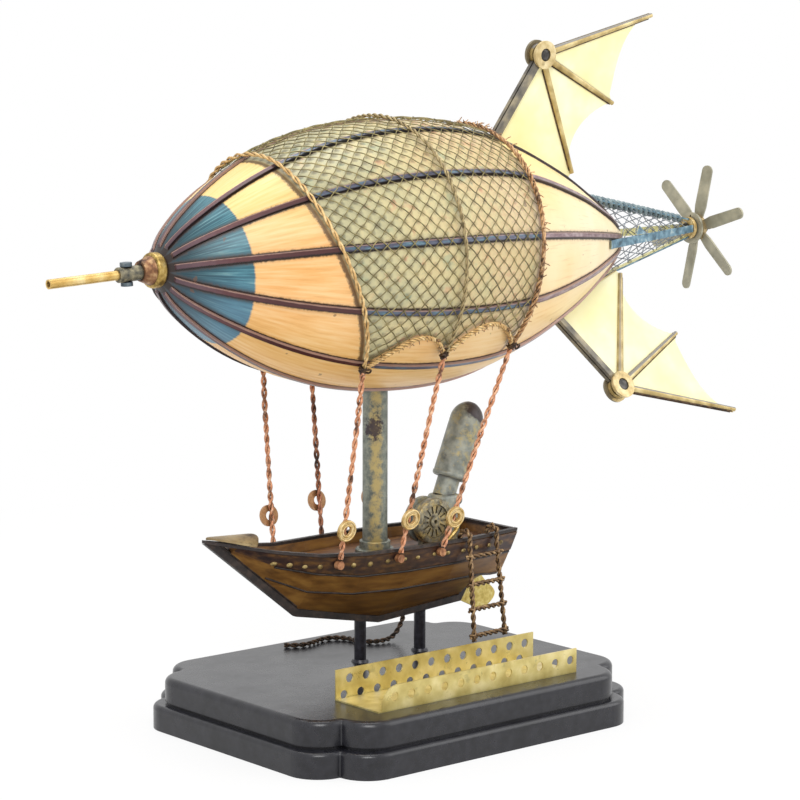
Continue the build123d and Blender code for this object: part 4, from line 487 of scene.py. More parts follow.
def mast_paint():
    """Iron tube with a green-grey patina, rubbed to mottled gold in stripes down its length, and one burnt purple
    patch high up."""
    material, tree, shader, spot = start_material("mast_patina_iron_tube")
    split = add(tree, "ShaderNodeSeparateXYZ", {0: spot})
    ahead = add(tree, "ShaderNodeMath", {0: split.outputs[0], 1: MAST_X}, operation="SUBTRACT").outputs[0]
    across = add(tree, "ShaderNodeMath", {0: split.outputs[1], 1: SHIP_Y}, operation="SUBTRACT").outputs[0]
    turn = add(tree, "ShaderNodeMath", {0: across, 1: ahead}, operation="ARCTAN2").outputs[0]
    # Two stripes, one of them towards the near side of the bow
    phase = add(tree, "ShaderNodeMath", {0: turn, 1: 2.0, 2: 2 * 2.20}, operation="MULTIPLY_ADD").outputs[0]
    stripe = add(tree, "ShaderNodeMath", {0: phase}, operation="COSINE").outputs[0]
    grain = add(tree, "ShaderNodeTexNoise",
                {"Vector": spot, "Scale": 420.0, "Detail": 8.0, "Roughness": 0.72}).outputs[0]
    colour = add(tree, "ShaderNodeValToRGB", {"Fac": grain},
                 stops=[(0.32, "#5A605A"), (0.48, "#7C8279"), (0.64, "#9A9E90")]).outputs[0]
    gold = add(tree, "ShaderNodeMath", {0: stripe, 1: 0.30, 2: grain}, operation="MULTIPLY_ADD").outputs[0]
    gold = add(tree, "ShaderNodeMapRange", {"Value": gold, "From Min": 0.62, "From Max": 0.80,
                                            "To Max": 0.85}).outputs[0]
    colour = add(tree, "ShaderNodeMix", {0: gold, 6: colour, 7: linear("#BDA768")}, data_type="RGBA").outputs[2]
    burnt = add(tree, "ShaderNodeVectorMath", {0: spot, 1: (-0.0005, 0.0095, 0.0965)}, operation="DISTANCE")
    burnt = add(tree, "ShaderNodeMath", {0: grain, 1: 0.014, 2: burnt.outputs["Value"]}, operation="MULTIPLY_ADD")
    burnt = add(tree, "ShaderNodeMapRange", {"Value": burnt.outputs[0], "From Min": 0.0112, "From Max": 0.0096,
                                             "To Max": 0.9})
    colour = add(tree, "ShaderNodeMix", {0: burnt.outputs[0], 6: colour, 7: linear("#3A2C34")},
                 data_type="RGBA").outputs[2]
    # Painted shade: darker in the corners, by the flange and under the envelope
    corner = add(tree, "ShaderNodeAmbientOcclusion", {"Distance": 2.0 * MM}, samples=6)
    painted_shade = add(tree, "ShaderNodeMapRange", {"Value": corner.outputs["AO"], "From Min": 0.35, "From Max": 0.85,
                                            "To Min": 0.6, "To Max": 0.0})
    colour = add(tree, "ShaderNodeMix", {0: painted_shade.outputs[0], 6: colour, 7: linear("#2E2A26")},
                 data_type="RGBA").outputs[2]
    relief = add(tree, "ShaderNodeBump", {"Height": grain, "Strength": 0.35, "Distance": 0.15 * MM})
    tree.links.new(colour, shader.inputs["Base Color"])
    tree.links.new(relief.outputs[0], shader.inputs["Normal"])
    shader.inputs["Roughness"].default_value = 0.45
    shader.inputs["Metallic"].default_value = 0.35
    return material


finishes["mast"] = mast_paint()


def boom_paint():
    """Blue-grey paint on the outside of the strips and cream inside, over tin."""
    material, tree, shader, spot = start_material("boom_two_sided_paint")
    split = add(tree, "ShaderNodeSeparateXYZ", {0: spot})
    across = add(tree, "ShaderNodeMath", {0: split.outputs[1], 1: SHIP_Y}, operation="SUBTRACT").outputs[0]
    up = add(tree, "ShaderNodeMath", {0: split.outputs[2], 1: AXIS_Z + 1.0 * MM}, operation="SUBTRACT").outputs[0]
    outward = add(tree, "ShaderNodeCombineXYZ", {1: across, 2: up}).outputs[0]
    facing = add(tree, "ShaderNodeVectorMath",
                 {0: outward, 1: add(tree, "ShaderNodeNewGeometry").outputs["Normal"]}, operation="DOT_PRODUCT")
    outside = add(tree, "ShaderNodeMapRange", {"Value": facing.outputs["Value"], "From Min": -0.0002,
                                               "From Max": 0.0002}).outputs[0]
    mottle = add(tree, "ShaderNodeTexNoise", {"Vector": spot, "Scale": 400.0, "Detail": 6.0}).outputs[0]
    blue = add(tree, "ShaderNodeValToRGB", {"Fac": mottle},
               stops=[(0.32, "#38525E"), (0.46, "#56788A"), (0.6, "#7496A6"), (0.72, "#B4C2C0")]).outputs[0]
    colour = add(tree, "ShaderNodeMix", {0: outside, 6: linear("#EFE8A8"), 7: blue}, data_type="RGBA").outputs[2]
    # Painted shade: darker in the corners between the strips, the wires and the envelope
    corner = add(tree, "ShaderNodeAmbientOcclusion", {"Distance": 1.2 * MM}, samples=6)
    painted_shade = add(tree, "ShaderNodeMapRange", {"Value": corner.outputs["AO"], "From Min": 0.35, "From Max": 0.8,
                                            "To Min": 0.6, "To Max": 0.0}).outputs[0]
    colour = add(tree, "ShaderNodeMix", {0: painted_shade, 6: colour, 7: linear("#2A3238")}, data_type="RGBA").outputs[2]
    relief = add(tree, "ShaderNodeBump", {"Height": mottle, "Strength": 0.3, "Distance": 0.15 * MM})
    tree.links.new(colour, shader.inputs["Base Color"])
    tree.links.new(relief.outputs[0], shader.inputs["Normal"])
    shader.inputs["Roughness"].default_value = 0.45
    return material


finishes["boom"] = boom_paint()
finishes["wrap"] = antiqued("boom_wound_painted_wire", ("#56666C", "#74868C", "#9CAAA8"), "#33434C", metallic=0.2,
                            shade_and_wash=0.9, shade_and_wash_mm=0.8)
finishes["boom_wire"] = antiqued("boom_drawn_steel_wire", ("#6A7078", "#8A9098", "#A8AEB2"), "#4A4A48",
                                 metallic=0.6, grain_mm=3.0, shade_and_wash=0.0)

node_finish = {
    "plinth": "plinth", "front_post": "iron", "rear_post": "iron", "keel_and_stem": "rim",
    "hull_shell": "hull", "deck": "deck", "gunwale_rim": "rim", "stud_band": "band", "foredeck": "foredeck",
    "rudder": "rudder", "mast_tube": "mast", "mast_flange": "mast", "engine_block": "engine",
    "engine_flywheel": "flywheel", "engine_cylinder": "engine", "engine_pipe": "brass",
    "envelope_shell": "envelope", "envelope_ribs": "rib", "nose_ring": "brass", "nose_cone": "nose_brown",
    "nose_socket": "collar", "nose_pin": "slate", "nose_spear": "spear", "rope_rings": "gold",
    "rope_eyelets": "far_ring", "anchor_eyelet": "rope_patina", "perforated_channel": "channel",
    "boom_strips": "boom", "boom_plate": "gold", "tail_pin": "steel", "propeller": "propeller",
    "tail_nut": "steel",
}
for name, item in nodes.items():
    if name.endswith("_wing_skin"):
        finish = "wing_skin"
    elif name.endswith("_wing_fingers"):
        finish = "finger"
    elif name.endswith("_wing_arms"):
        finish = "arm"
    elif name.endswith("_wing_washers"):
        finish = name.replace("_wing", "")
    elif name.endswith("_wing_screw"):
        finish = "steel"
    else:
        finish = node_finish.get(name, "brass")
    item.data.materials.clear()
    item.data.materials.append(finishes[finish])
    for face in item.data.polygons:
        face.material_index = 0

# Places on the envelope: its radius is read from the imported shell


def shell_tree(name):
    """A search tree over a CAD node's mesh."""
    mesh = nodes[name].data
    return BVHTree.FromPolygons([v.co for v in mesh.vertices], [p.vertices for p in mesh.polygons])


envelope_tree = shell_tree("envelope_shell")
radii = {}
for step in range(-83, 114):
    hit = envelope_tree.ray_cast(Vector((step * MM, SHIP_Y, AXIS_Z + 0.1)), Vector((0, 0, -1)))
    radii[step] = hit[0].z - AXIS_Z


def envelope_radius(x):
    """The envelope's radius at a station, in metres."""
    place = min(max(x / MM, -83), 112)
    low = int(place // 1)
    return radii[low] + (radii[low + 1] - radii[low]) * (place - low)


def on_envelope(x, angle, rise):
    """A point over the envelope, at an angle from the top towards the near side."""
    radius = envelope_radius(x) + rise
    return Vector((x, SHIP_Y - radius * sin(radians(angle)), AXIS_Z + radius * cos(radians(angle))))


def finish_piece(item, finish, body="airship", replaces=(), smooth=True):
    """Gives a new piece its finish and its place in the tree."""
    item.data.materials.clear()
    item.data.materials.append(finishes[finish])
    for face in item.data.polygons:
        face.use_smooth = smooth
    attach(item, body)
    if replaces:
        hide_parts(*replaces)
    return item


def even_points(points, step):
    """Points at an even step along a line."""
    out, left = [points[0].copy()], step
    for start, stop in zip(points, points[1:]):
        run, length = stop - start, (stop - start).length
        done = 0.0
        while length - done >= left:
            done += left
            out.append(start + run * (done / length))
            left = step
        left -= length - done
    return out


def carried_frames(points):
    """Each point with two directions square to the line, carried along without twisting."""
    side, out = None, []
    for index, point in enumerate(points):
        along = (points[min(index + 1, len(points) - 1)] - points[max(index - 1, 0)]).normalized()
        if side is None:
            side = along.orthogonal()
        side = (side - along * side.dot(along)).normalized()
        out.append((point, side, along.cross(side)))
    return out


def tubes(name, lines, radius, sides=1):
    """One mesh of round tubes along several lines of points."""
    curve = bpy.data.curves.new(name, "CURVE")
    curve.dimensions, curve.bevel_depth, curve.bevel_resolution = "3D", radius, sides
    curve.use_fill_caps = True
    for line in lines:
        spline = curve.splines.new("POLY")
        spline.points.add(len(line) - 1)
        for point, place in zip(spline.points, line):
            point.co = (*place, 1)
    holder = bpy.data.objects.new(name + "_line", curve)
    bpy.context.scene.collection.objects.link(holder)
    bpy.context.view_layer.update()
    mesh = bpy.data.meshes.new_from_object(holder.evaluated_get(bpy.context.evaluated_depsgraph_get()))
    bpy.data.objects.remove(holder)
    bpy.data.curves.remove(curve)
    item = bpy.data.objects.new(name, mesh)
    bpy.context.scene.collection.objects.link(item)
    return item


def twisted(route, radius, lay, strands=2, step=0.45 * MM, loosen=0.0, seed=1):
    """Lines for the strands of a rope or a twisted wire along a route."""
    chance = random.Random(seed)
    frames = carried_frames(even_points(route, step))
    strand = radius * (0.5 if strands == 2 else 0.46)
    lines = [[] for _ in range(strands)]
    turn = chance.random() * 2 * pi
    for index, (point, side, other) in enumerate(frames):
        turn += 2 * pi * step / lay * (1 + 0.12 * sin(index * 0.13 + seed))
        swell = 1 + loosen * sin(index * 0.07 + seed * 2)
        for number, line in enumerate(lines):
            angle = turn + 2 * pi * number / strands
            line.append(point + (side * cos(angle) + other * sin(angle)) * (radius - strand) * swell)
    return lines, strand


def piece_from(name, shape):
    """An object from a bmesh, with its place in its mesh."""
    mesh = bpy.data.meshes.new(name)
    shape.to_mesh(mesh)
    shape.free()
    item = bpy.data.objects.new(name, mesh)
    bpy.context.scene.collection.objects.link(item)
    return item


def coiled(route, radius, pitch, end_radius=None, step=0.3 * MM):
    """One wire wound round a route, its turns growing or shrinking to end_radius."""
    frames = carried_frames(even_points(route, step))
    last = max(len(frames) - 1, 1)
    line = []
    for index, (point, side, other) in enumerate(frames):
        turn = 2 * pi * index * step / pitch
        size = radius + ((end_radius or radius) - radius) * index / last
        line.append(point + (side * cos(turn) + other * sin(turn)) * size)
    return line


def wire_ends(route, count, length, seed):
    """Short bent ends of cut wire that stick out along a rope."""
    chance = random.Random(seed)
    ends = []
    for _ in range(count):
        index = chance.randrange(1, len(route) - 1)
        root = route[index]
        out = Vector((0, root.y - SHIP_Y, root.z - AXIS_Z)).normalized()
        along = (route[index + 1] - route[index - 1]).normalized()
        lean = along * chance.uniform(-1, 1) + along.cross(out) * chance.uniform(-1.1, 1.1) + out * 0.5
        reach = lean.normalized() * length * chance.uniform(0.6, 1.1)
        ends.append([root, root + reach * 0.5 + out * 0.2 * MM, root + reach])
    return ends


# Camera: fitted to the photograph on the plinth, boat and envelope
bearing = radians(-40.461)
drop = radians(7.871)
roll = radians(0.171)
forward = Vector((-sin(bearing) * cos(drop), cos(bearing) * cos(drop), -sin(drop)))
right = Vector((cos(bearing), sin(bearing), 0))
upward = right.cross(forward)
turned_right = right * cos(roll) + upward * sin(roll)
turned_up = upward * cos(roll) - right * sin(roll)
lens = bpy.data.cameras.new("photo_camera")
lens.sensor_width = 36.0
lens.lens = 2684.96 / 800 * 36.0
lens.clip_start, lens.clip_end = 0.05, 20.0
camera = bpy.data.objects.new("photo_camera", lens)
bpy.context.scene.collection.objects.link(camera)
place = Matrix((turned_right, turned_up, -forward)).transposed().to_4x4()
place.translation = Vector((-565.0, -666.3, 227.8)) * MM
camera.matrix_world = place
bpy.context.scene.camera = camera

# Suspension ropes: twisted copper pairs along the CAD rods' centre lines


def rod_line(name):
    """The centre of each ring of a rod's corners, from the top down."""
    seen = sorted({tuple(round(c, 6) for c in v.co) for v in nodes[name].data.vertices}, key=lambda c: -c[2])
    rings = [seen[start:start + 8] for start in range(0, len(seen), 8)]
    return [sum((Vector(c) for c in ring), Vector()) / len(ring) for ring in rings]


for seed, (side, label, finish) in enumerate((
    ("near", "front", "rope_copper"), ("near", "middle", "rope_copper"), ("near", "rear", "rope_copper"),
    ("far", "front", "rope_copper"), ("far", "middle", "rope_patina"), ("far", "rear", "rope_patina"),
)):
    node = f"{side}_{label}_rope"
    lines, strand = twisted(rod_line(node), 0.98 * MM, 7.6 * MM, seed=seed + 3, loosen=0.15)
    rope = tubes(f"{side}_{label}_twist", lines, strand, 2)
    finish_piece(rope, finish, replaces=(node,))

# Net: body ropes, swags, and two layers of fine wires that cross in diamonds
front_rope = (-47.5, 23.5, 141.0)
middle_rope = (3.0, 0.0, 130.0)
rear_rope = (42.6, -8.4, 131.0)
ROPE_RISE = 2.45 * MM
NET_RISE = 1.2 * MM


def rope_station(rope, angle):
    """Where a body rope crosses an angle, in metres: it sweeps aft towards its ends."""
    share = (1 - cos(radians(abs(angle)))) / (1 - cos(radians(rope[2])))
    return (rope[0] + rope[1] * share**1.6) * MM


def swag_angle(x):
    """The angle of the net's lower edge at a station."""
    first, second = (front_rope, middle_rope) if x < middle_rope[0] * MM else (middle_rope, rear_rope)
    start, stop = rope_station(first, first[2]), rope_station(second, second[2])
    share = min(max((x - start) / (stop - start), 0.0), 1.0)
    return first[2] + (second[2] - first[2]) * share - 14.0 * 4 * share * (1 - share)


# The front rope is two loose tan strands, the middle one a thin pair, and the rear one is frayed copper
for label, rope, finish, radius, lay, strands, loosen in (
    ("front", front_rope, "rope_tan", 0.8, 9.0, 2, 0.2),
    ("middle", middle_rope, "rope_khaki", 0.72, 6.0, 2, 0.15),
    ("rear", rear_rope, "rope_brown", 0.85, 7.0, 3, 0.25),
):
    turns = [rope[2] * step / 60 for step in range(-60, 61)]
    route = [on_envelope(rope_station(rope, turn), turn, ROPE_RISE - 0.4 * MM) for turn in turns]
    lines, strand = twisted(route, radius * MM, lay * MM, strands=strands, seed=len(label) + 11, loosen=loosen)
    rope_piece = tubes(f"{label}_body_rope", lines, strand, 2)
    finish_piece(rope_piece, finish, replaces=("net_ropes",) if label == "front" else ())
    if label == "rear":
        fray = tubes("rear_rope_fray", wire_ends(route, 150, 2.4 * MM, 61), 0.16 * MM, 0)
        finish_piece(fray, "rope_brown")

swag_lines, fray_lines, knot_lines = [], [], []
for side in (-1, 1):
    for first, second in ((front_rope, middle_rope), (middle_rope, rear_rope)):
        start, stop = rope_station(first, first[2]), rope_station(second, second[2])
        stations = [start + (stop - start) * (0.03 + 0.94 * step / 30) for step in range(31)]
        route = [on_envelope(x, side * swag_angle(x), ROPE_RISE - 0.6 * MM) for x in stations]
        lines, strand = twisted(route, 0.85 * MM, 4.2 * MM, strands=3, seed=side + 25)
        swag_lines += lines
        fray_lines += wire_ends(route, 26, 2.2 * MM, side + 71)
    for rope, spin in ((front_rope, 1), (middle_rope, -1), (rear_rope, 1)):
        # Where a swag meets a rope, a wire is wrapped round both and ends in a small curl
        foot = on_envelope(rope_station(rope, rope[2]), side * rope[2], ROPE_RISE - 0.4 * MM)
        before = on_envelope(rope_station(rope, rope[2] - 6), side * (rope[2] - 6), ROPE_RISE - 0.4 * MM)
        along = (foot - before).normalized()
        wrap = [foot - along * 1.6 * MM, foot + along * 1.2 * MM]
        knot_lines.append(coiled(wrap, 1.25 * MM, 0.62 * MM, step=0.14 * MM))
        out = Vector((0, foot.y - SHIP_Y, foot.z - AXIS_Z)).normalized()
        across = along.cross(out)
        middle = foot + out * 1.1 * MM + Vector((1.6 * MM * spin, 0, 0))
        knot_lines.append([
            middle + (across * cos(turn / 4) + along * sin(turn / 4)) * (0.35 + 0.045 * turn) * MM
            for turn in range(22)
        ])
finish_piece(tubes("swag_twist", swag_lines, strand, 2), "rope_tan", replaces=("net_swags",))
finish_piece(tubes("swag_fray", fray_lines, 0.16 * MM, 0), "rope_brown")
finish_piece(tubes("net_knots", knot_lines, 0.33 * MM, 1), "knot")

wire_lines = []
for slant in (1, -1):
    count = int((2 * REACH + 0.1) / SPACING) + 1
    for index in range(count):
        offset = -REACH - 19 * SPACING + index * SPACING
        line = []
        for step in range(119):
            x = -0.0475 + step * 0.8 * MM
            along = offset + x + 0.0475
            # Each wire also bows from side to side between crossings, which rounds the diamonds
            bow = sin(2 * pi * along / SPACING + index * pi) * 0.22 * MM
            angle = slant * (along + bow) / GIRTH * 180 / pi
            if abs(angle) < swag_angle(x) and rope_station(front_rope, angle) < x < rope_station(rear_rope, angle):
                # Each wire rises and dips at every crossing, as woven mesh does
                wave = cos(2 * pi * along / SPACING + index * pi) * 0.12 * MM
                line.append(on_envelope(x, angle, NET_RISE + wave * slant))
            elif len(line) > 3:
                wire_lines.append(line)
                line = []
        if len(line) > 3:
            wire_lines.append(line)
finish_piece(tubes("net_wires", wire_lines, 0.19 * MM, 0), "net_wire", replaces=("net_mesh",))

# Boarding ladder: twisted wire rails that hook over the near rim, and twisted rungs
rails = (
    ((27.6, -2.9, 57.6), (27.6, -2.9, 59.6), (28.0, -5.0, 61.0), (28.4, -7.0, 59.6), (28.4, -7.0, 55.2),
     (30.7, -7.0, 22.6)),
    ((41.2, -1.4, 57.6), (41.2, -1.4, 59.6), (41.6, -3.4, 61.0), (42.0, -5.4, 59.6), (42.0, -5.4, 55.2),
     (46.2, -5.4, 22.6)),
)
ladder_lines = []
for seed, rail in enumerate(rails):
    lines, strand = twisted([Vector(p) * MM for p in rail], 0.95 * MM, 5.2 * MM, seed=seed + 31)
    ladder_lines += lines
for seed, height in enumerate((51.8, 42.2, 33.6, 24.4)):
    share = (58.3 - height) / (58.3 - 22.6)
    ends = [Vector((28.4 + 2.3 * share - 1.8, -7.0, height)), Vector((42.0 + 4.2 * share + 1.8, -5.4, height))]
    lines, strand = twisted([p * MM for p in ends], 0.95 * MM, 5.2 * MM, seed=seed + 41)
    ladder_lines += lines
finish_piece(tubes("ladder_twist", ladder_lines, strand, 2), "ladder",
             replaces=("boarding_ladder",))

# Anchor cord: limp two-strand twine that hangs from the far rim and lies on the plinth
anchor_route = (
    (37.0, 33.6, 54.6), (36.6, 34.3, 46.0), (35.6, 33.6, 36.0), (32.6, 31.4, 25.0), (26.0, 29.2, 18.5),
    (18.6, 28.4, 18.1), (13.4, 33.0, 18.1), (14.0, 40.4, 18.1), (8.0, 45.0, 18.1), (0.6, 42.0, 18.1),
    (-5.6, 41.0, 18.1), (-10.0, 45.2, 18.1),
)
centre = bpy.data.curves.new("anchor_route", "CURVE")
centre.dimensions, centre.resolution_u = "3D", 12
spline = centre.splines.new("NURBS")
spline.points.add(len(anchor_route) - 1)
for point, spot in zip(spline.points, anchor_route):
    point.co = (*(Vector(spot) * MM), 1)
spline.order_u, spline.use_endpoint_u = 3, True
holder = bpy.data.objects.new("anchor_route", centre)
bpy.context.scene.collection.objects.link(holder)
bpy.context.view_layer.update()
line_mesh = bpy.data.meshes.new_from_object(holder.evaluated_get(bpy.context.evaluated_depsgraph_get()))
anchor_path = [v.co.copy() for v in line_mesh.vertices]
bpy.data.objects.remove(holder)
lines, strand = twisted(anchor_path, 0.9 * MM, 5.4 * MM, step=0.3 * MM, seed=51)
anchor = tubes("anchor_cord", lines, strand, 2)
finish_piece(anchor, "cord", replaces=("anchor_rope",))

# Boom mesh: fine light wires between the four strips
boom_lines = []


def boom_point(x, angle, drop, draw=1.0):
    """A point on a boom strip's centre line, or drawn in from it."""
    share = (x - 99.0) / (152.0 - 99.0)
    radius = (15.6 + (3.2 - 15.6) * share) * draw - drop
    turn = radians(angle)
    return Vector((x, 13.1 - radius * sin(turn), 153.6 + 2.3 * share + radius * cos(turn))) * MM


for angle in (0, 90, 180, 270):
    for slant, drop_in in ((1, 0.55), (-1, 0.95)):
        start = 96.0
        while start < 150.0:
            run = 13.0 * (15.6 + (3.2 - 15.6) * (start - 99) / 53) / 10.0
            line = []
            for step in range(9):
                share = step / 8
                x = start + run * share
                if not 101.0 < x < 151.4:
                    continue
                turn = angle + 90 * (share if slant > 0 else 1 - share)
                draw = 1 - 0.18 * (4 * share * (1 - share))
                spot = boom_point(x, turn, drop_in, draw)
                radius = ((spot.y - SHIP_Y) ** 2 + (spot.z - AXIS_Z) ** 2) ** 0.5
                if x < 113 and radius < envelope_radius(x * MM) + 0.4 * MM:
                    continue
                line.append(spot)
            if len(line) > 1:
                boom_lines.append(line)
            start += 7.4 * (1.25 - 0.5 * (start - 96) / 54)
finish_piece(tubes("boom_wires", boom_lines, 0.17 * MM, 0), "boom_wire",
             replaces=("boom_mesh",))
# The upper strip is wrapped in wire, tight and thick at the envelope and thinner at the tail
wrapped = [boom_point(x, 0, 0.3) for x in (100.5, 112, 124, 136, 149)]
wrap_lines = [coiled(wrapped, 1.25 * MM, 2.6 * MM, 0.7 * MM)]
finish_piece(tubes("boom_wrap", wrap_lines, 0.85 * MM, 2), "wrap")
# A small folded tab stands on the near strip, a third of the way along
tab = bmesh.new()
for shift in (0.0, 0.5):
    corners = [boom_point(x, turn, rise + shift) for x, turn, rise in (
        (113.0, 82, -0.6), (119.6, 82, -0.6), (116.6, 66, -0.2))]
    tab.faces.new([tab.verts.new(corner) for corner in corners])
bmesh.ops.bridge_loops(tab, edges=tab.edges)
bmesh.ops.recalc_face_normals(tab, faces=tab.faces)
finish_piece(piece_from("boom_tab", tab), "boom", smooth=False)

# Studs: small gold domes along the dark band on both sides of the boat
band_tree = shell_tree("stud_band")
studs = bmesh.new()
row = [(-50.4, 58.3), (-45.2, 57.2), (-40.0, 56.2), (-34.8, 55.5), (-29.6, 55.0), (-24.2, 54.6), (-18.4, 54.4)]
row += [(-12.2 + 6.5 * step, 54.4) for step in range(10)]
chance = random.Random(81)
for side in (-1, 1):
    for x, z in row:
        x, z = x + chance.uniform(-0.5, 0.5), z + chance.uniform(-0.25, 0.25)
        origin = Vector((x * MM, SHIP_Y + side * 0.05, z * MM))
        hit = band_tree.ray_cast(origin, Vector((0, -side, 0)))
        if hit[0] is None:
            continue
        dome = bmesh.ops.create_uvsphere(studs, u_segments=12, v_segments=8, radius=1.0 * MM)["verts"]
        turn = hit[1].to_track_quat("Z", "Y").to_matrix().to_4x4()
        bmesh.ops.scale(studs, vec=(chance.uniform(0.8, 1.3), chance.uniform(0.7, 0.95), 0.55), verts=dome)
        bmesh.ops.transform(studs, matrix=Matrix.Translation(hit[0]) @ turn, verts=dome)
finish_piece(piece_from("band_studs", studs), "stud")

# Plank seams: a dark bead along the two plank corners, on both sides of the boat, standing in for the painted shadow
# under each plank's lower edge
seam_rows = {
    "low": ((-57.6, 1.4, 61.2), (-44.4, 2.0, 51.6), (-30.0, 5.6, 45.6), (-14.6, 10.0, 43.6), (4.4, 12.0, 43.0),
            (25.0, 12.2, 43.2), (40.4, 11.3, 43.2), (45.7, 11.0, 42.6), (49.0, 10.8, 42.6)),
    "high": ((-57.6, 2.6, 62.0), (-44.4, 6.8, 55.8), (-30.0, 11.2, 52.3), (-14.6, 15.0, 50.2), (4.4, 16.4, 49.8),
             (25.0, 16.6, 49.9), (40.4, 15.0, 50.0), (45.7, 14.2, 50.0), (52.4, 13.2, 50.0)),
}
seam_lines = []
for rows in seam_rows.values():
    for side in (-1, 1):
        seam_lines.append([Vector((x, 13.1 + side * half, z)) * MM for x, half, z in rows[1:]])
# A bead lies along the inner edge of the stem on both sides, where the planks end
stem_edge = ((-61.1, 63.9), (-56.4, 60.2), (-47.5, 53.2), (-30.7, 40.1))
for half in (-0.9, 0.9):
    seam_lines.append([Vector((x, 13.1 + half, z)) * MM for x, z in stem_edge])
# The dark rim finish here is painted shadow under the plank edges, and a bead along the stem
finish_piece(tubes("plank_seams", seam_lines, 0.42 * MM, 1), "rim")

# Rope rings: a raised bead round each hole, as on a stamped washer
ring_mesh = nodes["rope_rings"].data
groups = bmesh.new()
groups.from_mesh(ring_mesh)
bmesh.ops.remove_doubles(groups, verts=groups.verts, dist=0.01 * MM)
beads, seen = [], set()
for vert in groups.verts:
    if vert.index in seen:
        continue
    island, queue = [], [vert]
    seen.add(vert.index)
    while queue:
        here = queue.pop()
        island.append(here)
        for link in here.link_edges:
            there = link.other_vert(here)
            if there.index not in seen:
                seen.add(there.index)
                queue.append(there)
    middle = sum((v.co for v in island), Vector()) / len(island)
    face = max((f for v in island for f in v.link_faces), key=lambda f: f.calc_area())
    normal = face.normal.copy()
    if (normal.y > 0) == (middle.y < SHIP_Y):
        normal.negate()
    top = max((v.co - middle).dot(normal) for v in island)
    side = normal.orthogonal().normalized()
    other = normal.cross(side)
    for bead_radius in (1.9 * MM, 3.2 * MM):
        beads.append([middle + normal * top + (side * cos(turn * pi / 18) + other * sin(turn * pi / 18)) * bead_radius
                      for turn in range(37)])
groups.free()
near_beads = [bead for bead in beads if bead[0].y < SHIP_Y]
far_beads = [bead for bead in beads if bead[0].y > SHIP_Y]
finish_piece(tubes("near_ring_beads", near_beads, 0.34 * MM, 1), "gold")
finish_piece(tubes("far_ring_beads", far_beads, 0.34 * MM, 1), "far_ring")

# Wings: a dark wire as painted shadow along the edge under each rod, and the wire along the inner edge


def wing_point(x, radius, angle, rise):
    """A point on a wing, raised from its middle towards the camera's side."""
    turn = radians(angle)
    across = Vector((0, cos(turn), sin(turn)))
    spot = Vector((x, 13.1 - radius * sin(turn), 153.6 + radius * cos(turn)))
    return (spot - across * rise) * MM


for name, angle, shift in (("upper", 4.5, (0.0, 0.0)), ("lower", 153.2, (20.6, -11.2))):
    face = 1 if name == "upper" else -1
    edge = [wing_point(x + shift[0], r + shift[1], angle, side * 0.6)
            for side in (face,) for x, r in ((55.4, 36.0), (66.0, 32.2), (78.0, 27.4), (89.2, 23.2))]
    finish_piece(tubes(f"{name}_wing_edge", [edge], 0.32 * MM, 1), "finger")
    rod_shadow_lines = []
    for tip in ((125.0, 79.5), (108.6, 48.7), (91.0, 24.6)):
        run = Vector(tip) - Vector((72.8, 65.9))
        length = run.length
        run.normalize()
        # The painted shadow lies on the dark side of a rod, towards the bow and down in the photograph
        below = Vector((run.y, -run.x)) * (1 if name == "upper" else -1)
        for side in (1, -1):
            line = []
            for share in (0.12, 0.5, 0.97):
                width = 1.3 + (0.75 - 1.3) * share
                spot = Vector((72.8, 65.9)) + run * length * share + below * (width + 0.1)
                line.append(wing_point(spot.x + shift[0], spot.y + shift[1], angle, side * 0.45))
            rod_shadow_lines.append(line)
    # The dark knot finish serves here as painted shadow
    finish_piece(tubes(f"{name}_rod_shadow_wire", rod_shadow_lines, 0.3 * MM, 1), "knot")

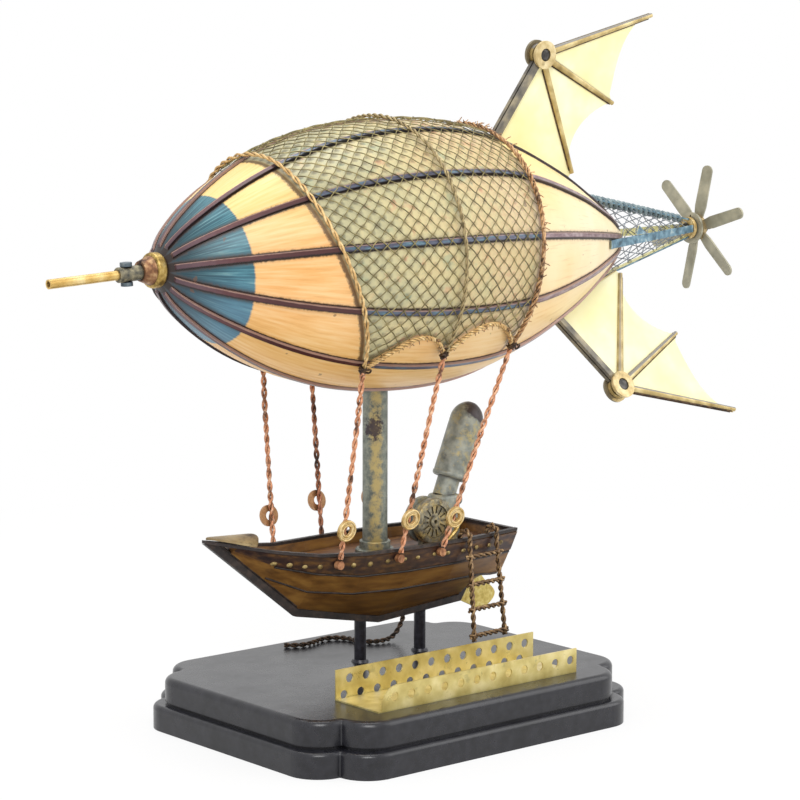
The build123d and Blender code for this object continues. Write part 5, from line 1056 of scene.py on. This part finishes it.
# Stage: a pale floor that shows white to the camera, two soft lamps and an even white surround
floor_mesh = bmesh.new()
bmesh.ops.create_grid(floor_mesh, x_segments=1, y_segments=1, size=3.0)
mesh = bpy.data.meshes.new("floor")
floor_mesh.to_mesh(mesh)
floor_mesh.free()
floor = bpy.data.objects.new("floor", mesh)
bpy.context.scene.collection.objects.link(floor)
pale = bpy.data.materials.new("floor_pale_card")
pale.use_nodes = True
tree = pale.node_tree
tree.nodes.clear()
matte = add(tree, "ShaderNodeBsdfDiffuse", {"Color": linear("#F6F6F6")})
white = add(tree, "ShaderNodeEmission", {"Color": (1, 1, 1, 1), "Strength": 1.0})
ray = add(tree, "ShaderNodeLightPath")
seen = add(tree, "ShaderNodeMath", {0: ray.outputs["Is Camera Ray"], 1: ray.outputs["Is Glossy Ray"]},
           operation="MAXIMUM")
# The shadow stays near the model, and further out the card shows plain white
away = add(tree, "ShaderNodeVectorMath", {0: add(tree, "ShaderNodeTexCoord").outputs["Object"],
                                          1: (0.02, 0.0, 0.0)}, operation="DISTANCE")
cover = add(tree, "ShaderNodeMapRange", {"Value": away.outputs["Value"], "From Min": 0.12, "From Max": 0.42,
                                         "To Min": 0.82, "To Max": 1.0})
part = add(tree, "ShaderNodeMath", {0: seen.outputs[0], 1: cover.outputs[0]}, operation="MULTIPLY")
blend = add(tree, "ShaderNodeMixShader", {0: part.outputs[0], 1: matte.outputs[0], 2: white.outputs[0]})
add(tree, "ShaderNodeOutputMaterial", {"Surface": blend.outputs[0]})
floor.data.materials.append(pale)

for name, spot, size, power in (
    ("key_lamp", (-0.7, -0.9, 1.1), 0.7, 11.0),
    ("fill_lamp", (0.9, -0.6, 0.7), 0.9, 4.5),
    ("top_lamp", (0.1, 0.3, 1.3), 0.8, 7.0),
):
    light = bpy.data.lights.new(name, "AREA")
    light.shape, light.size, light.energy = "SQUARE", size, power
    lamp = bpy.data.objects.new(name, light)
    bpy.context.scene.collection.objects.link(lamp)
    aim = Vector((0, 0.01, 0.12)) - Vector(spot)
    lamp.matrix_world = Matrix.Translation(spot) @ aim.to_track_quat("-Z", "Y").to_matrix().to_4x4()

world = bpy.data.worlds.new("studio")
bpy.context.scene.world = world
world.use_nodes = True
tree = world.node_tree
tree.nodes.clear()
ray = add(tree, "ShaderNodeLightPath")
seen = add(tree, "ShaderNodeMath", {0: ray.outputs["Is Camera Ray"], 1: ray.outputs["Is Glossy Ray"]},
           operation="MAXIMUM")
level = add(tree, "ShaderNodeMapRange", {"Value": seen.outputs[0], "To Min": 0.55, "To Max": 1.0})
surround = add(tree, "ShaderNodeBackground", {"Color": (1, 1, 1, 1), "Strength": level.outputs[0]})
add(tree, "ShaderNodeOutputWorld", {"Surface": surround.outputs[0]})

bpy.context.scene.view_settings.view_transform = "Standard"
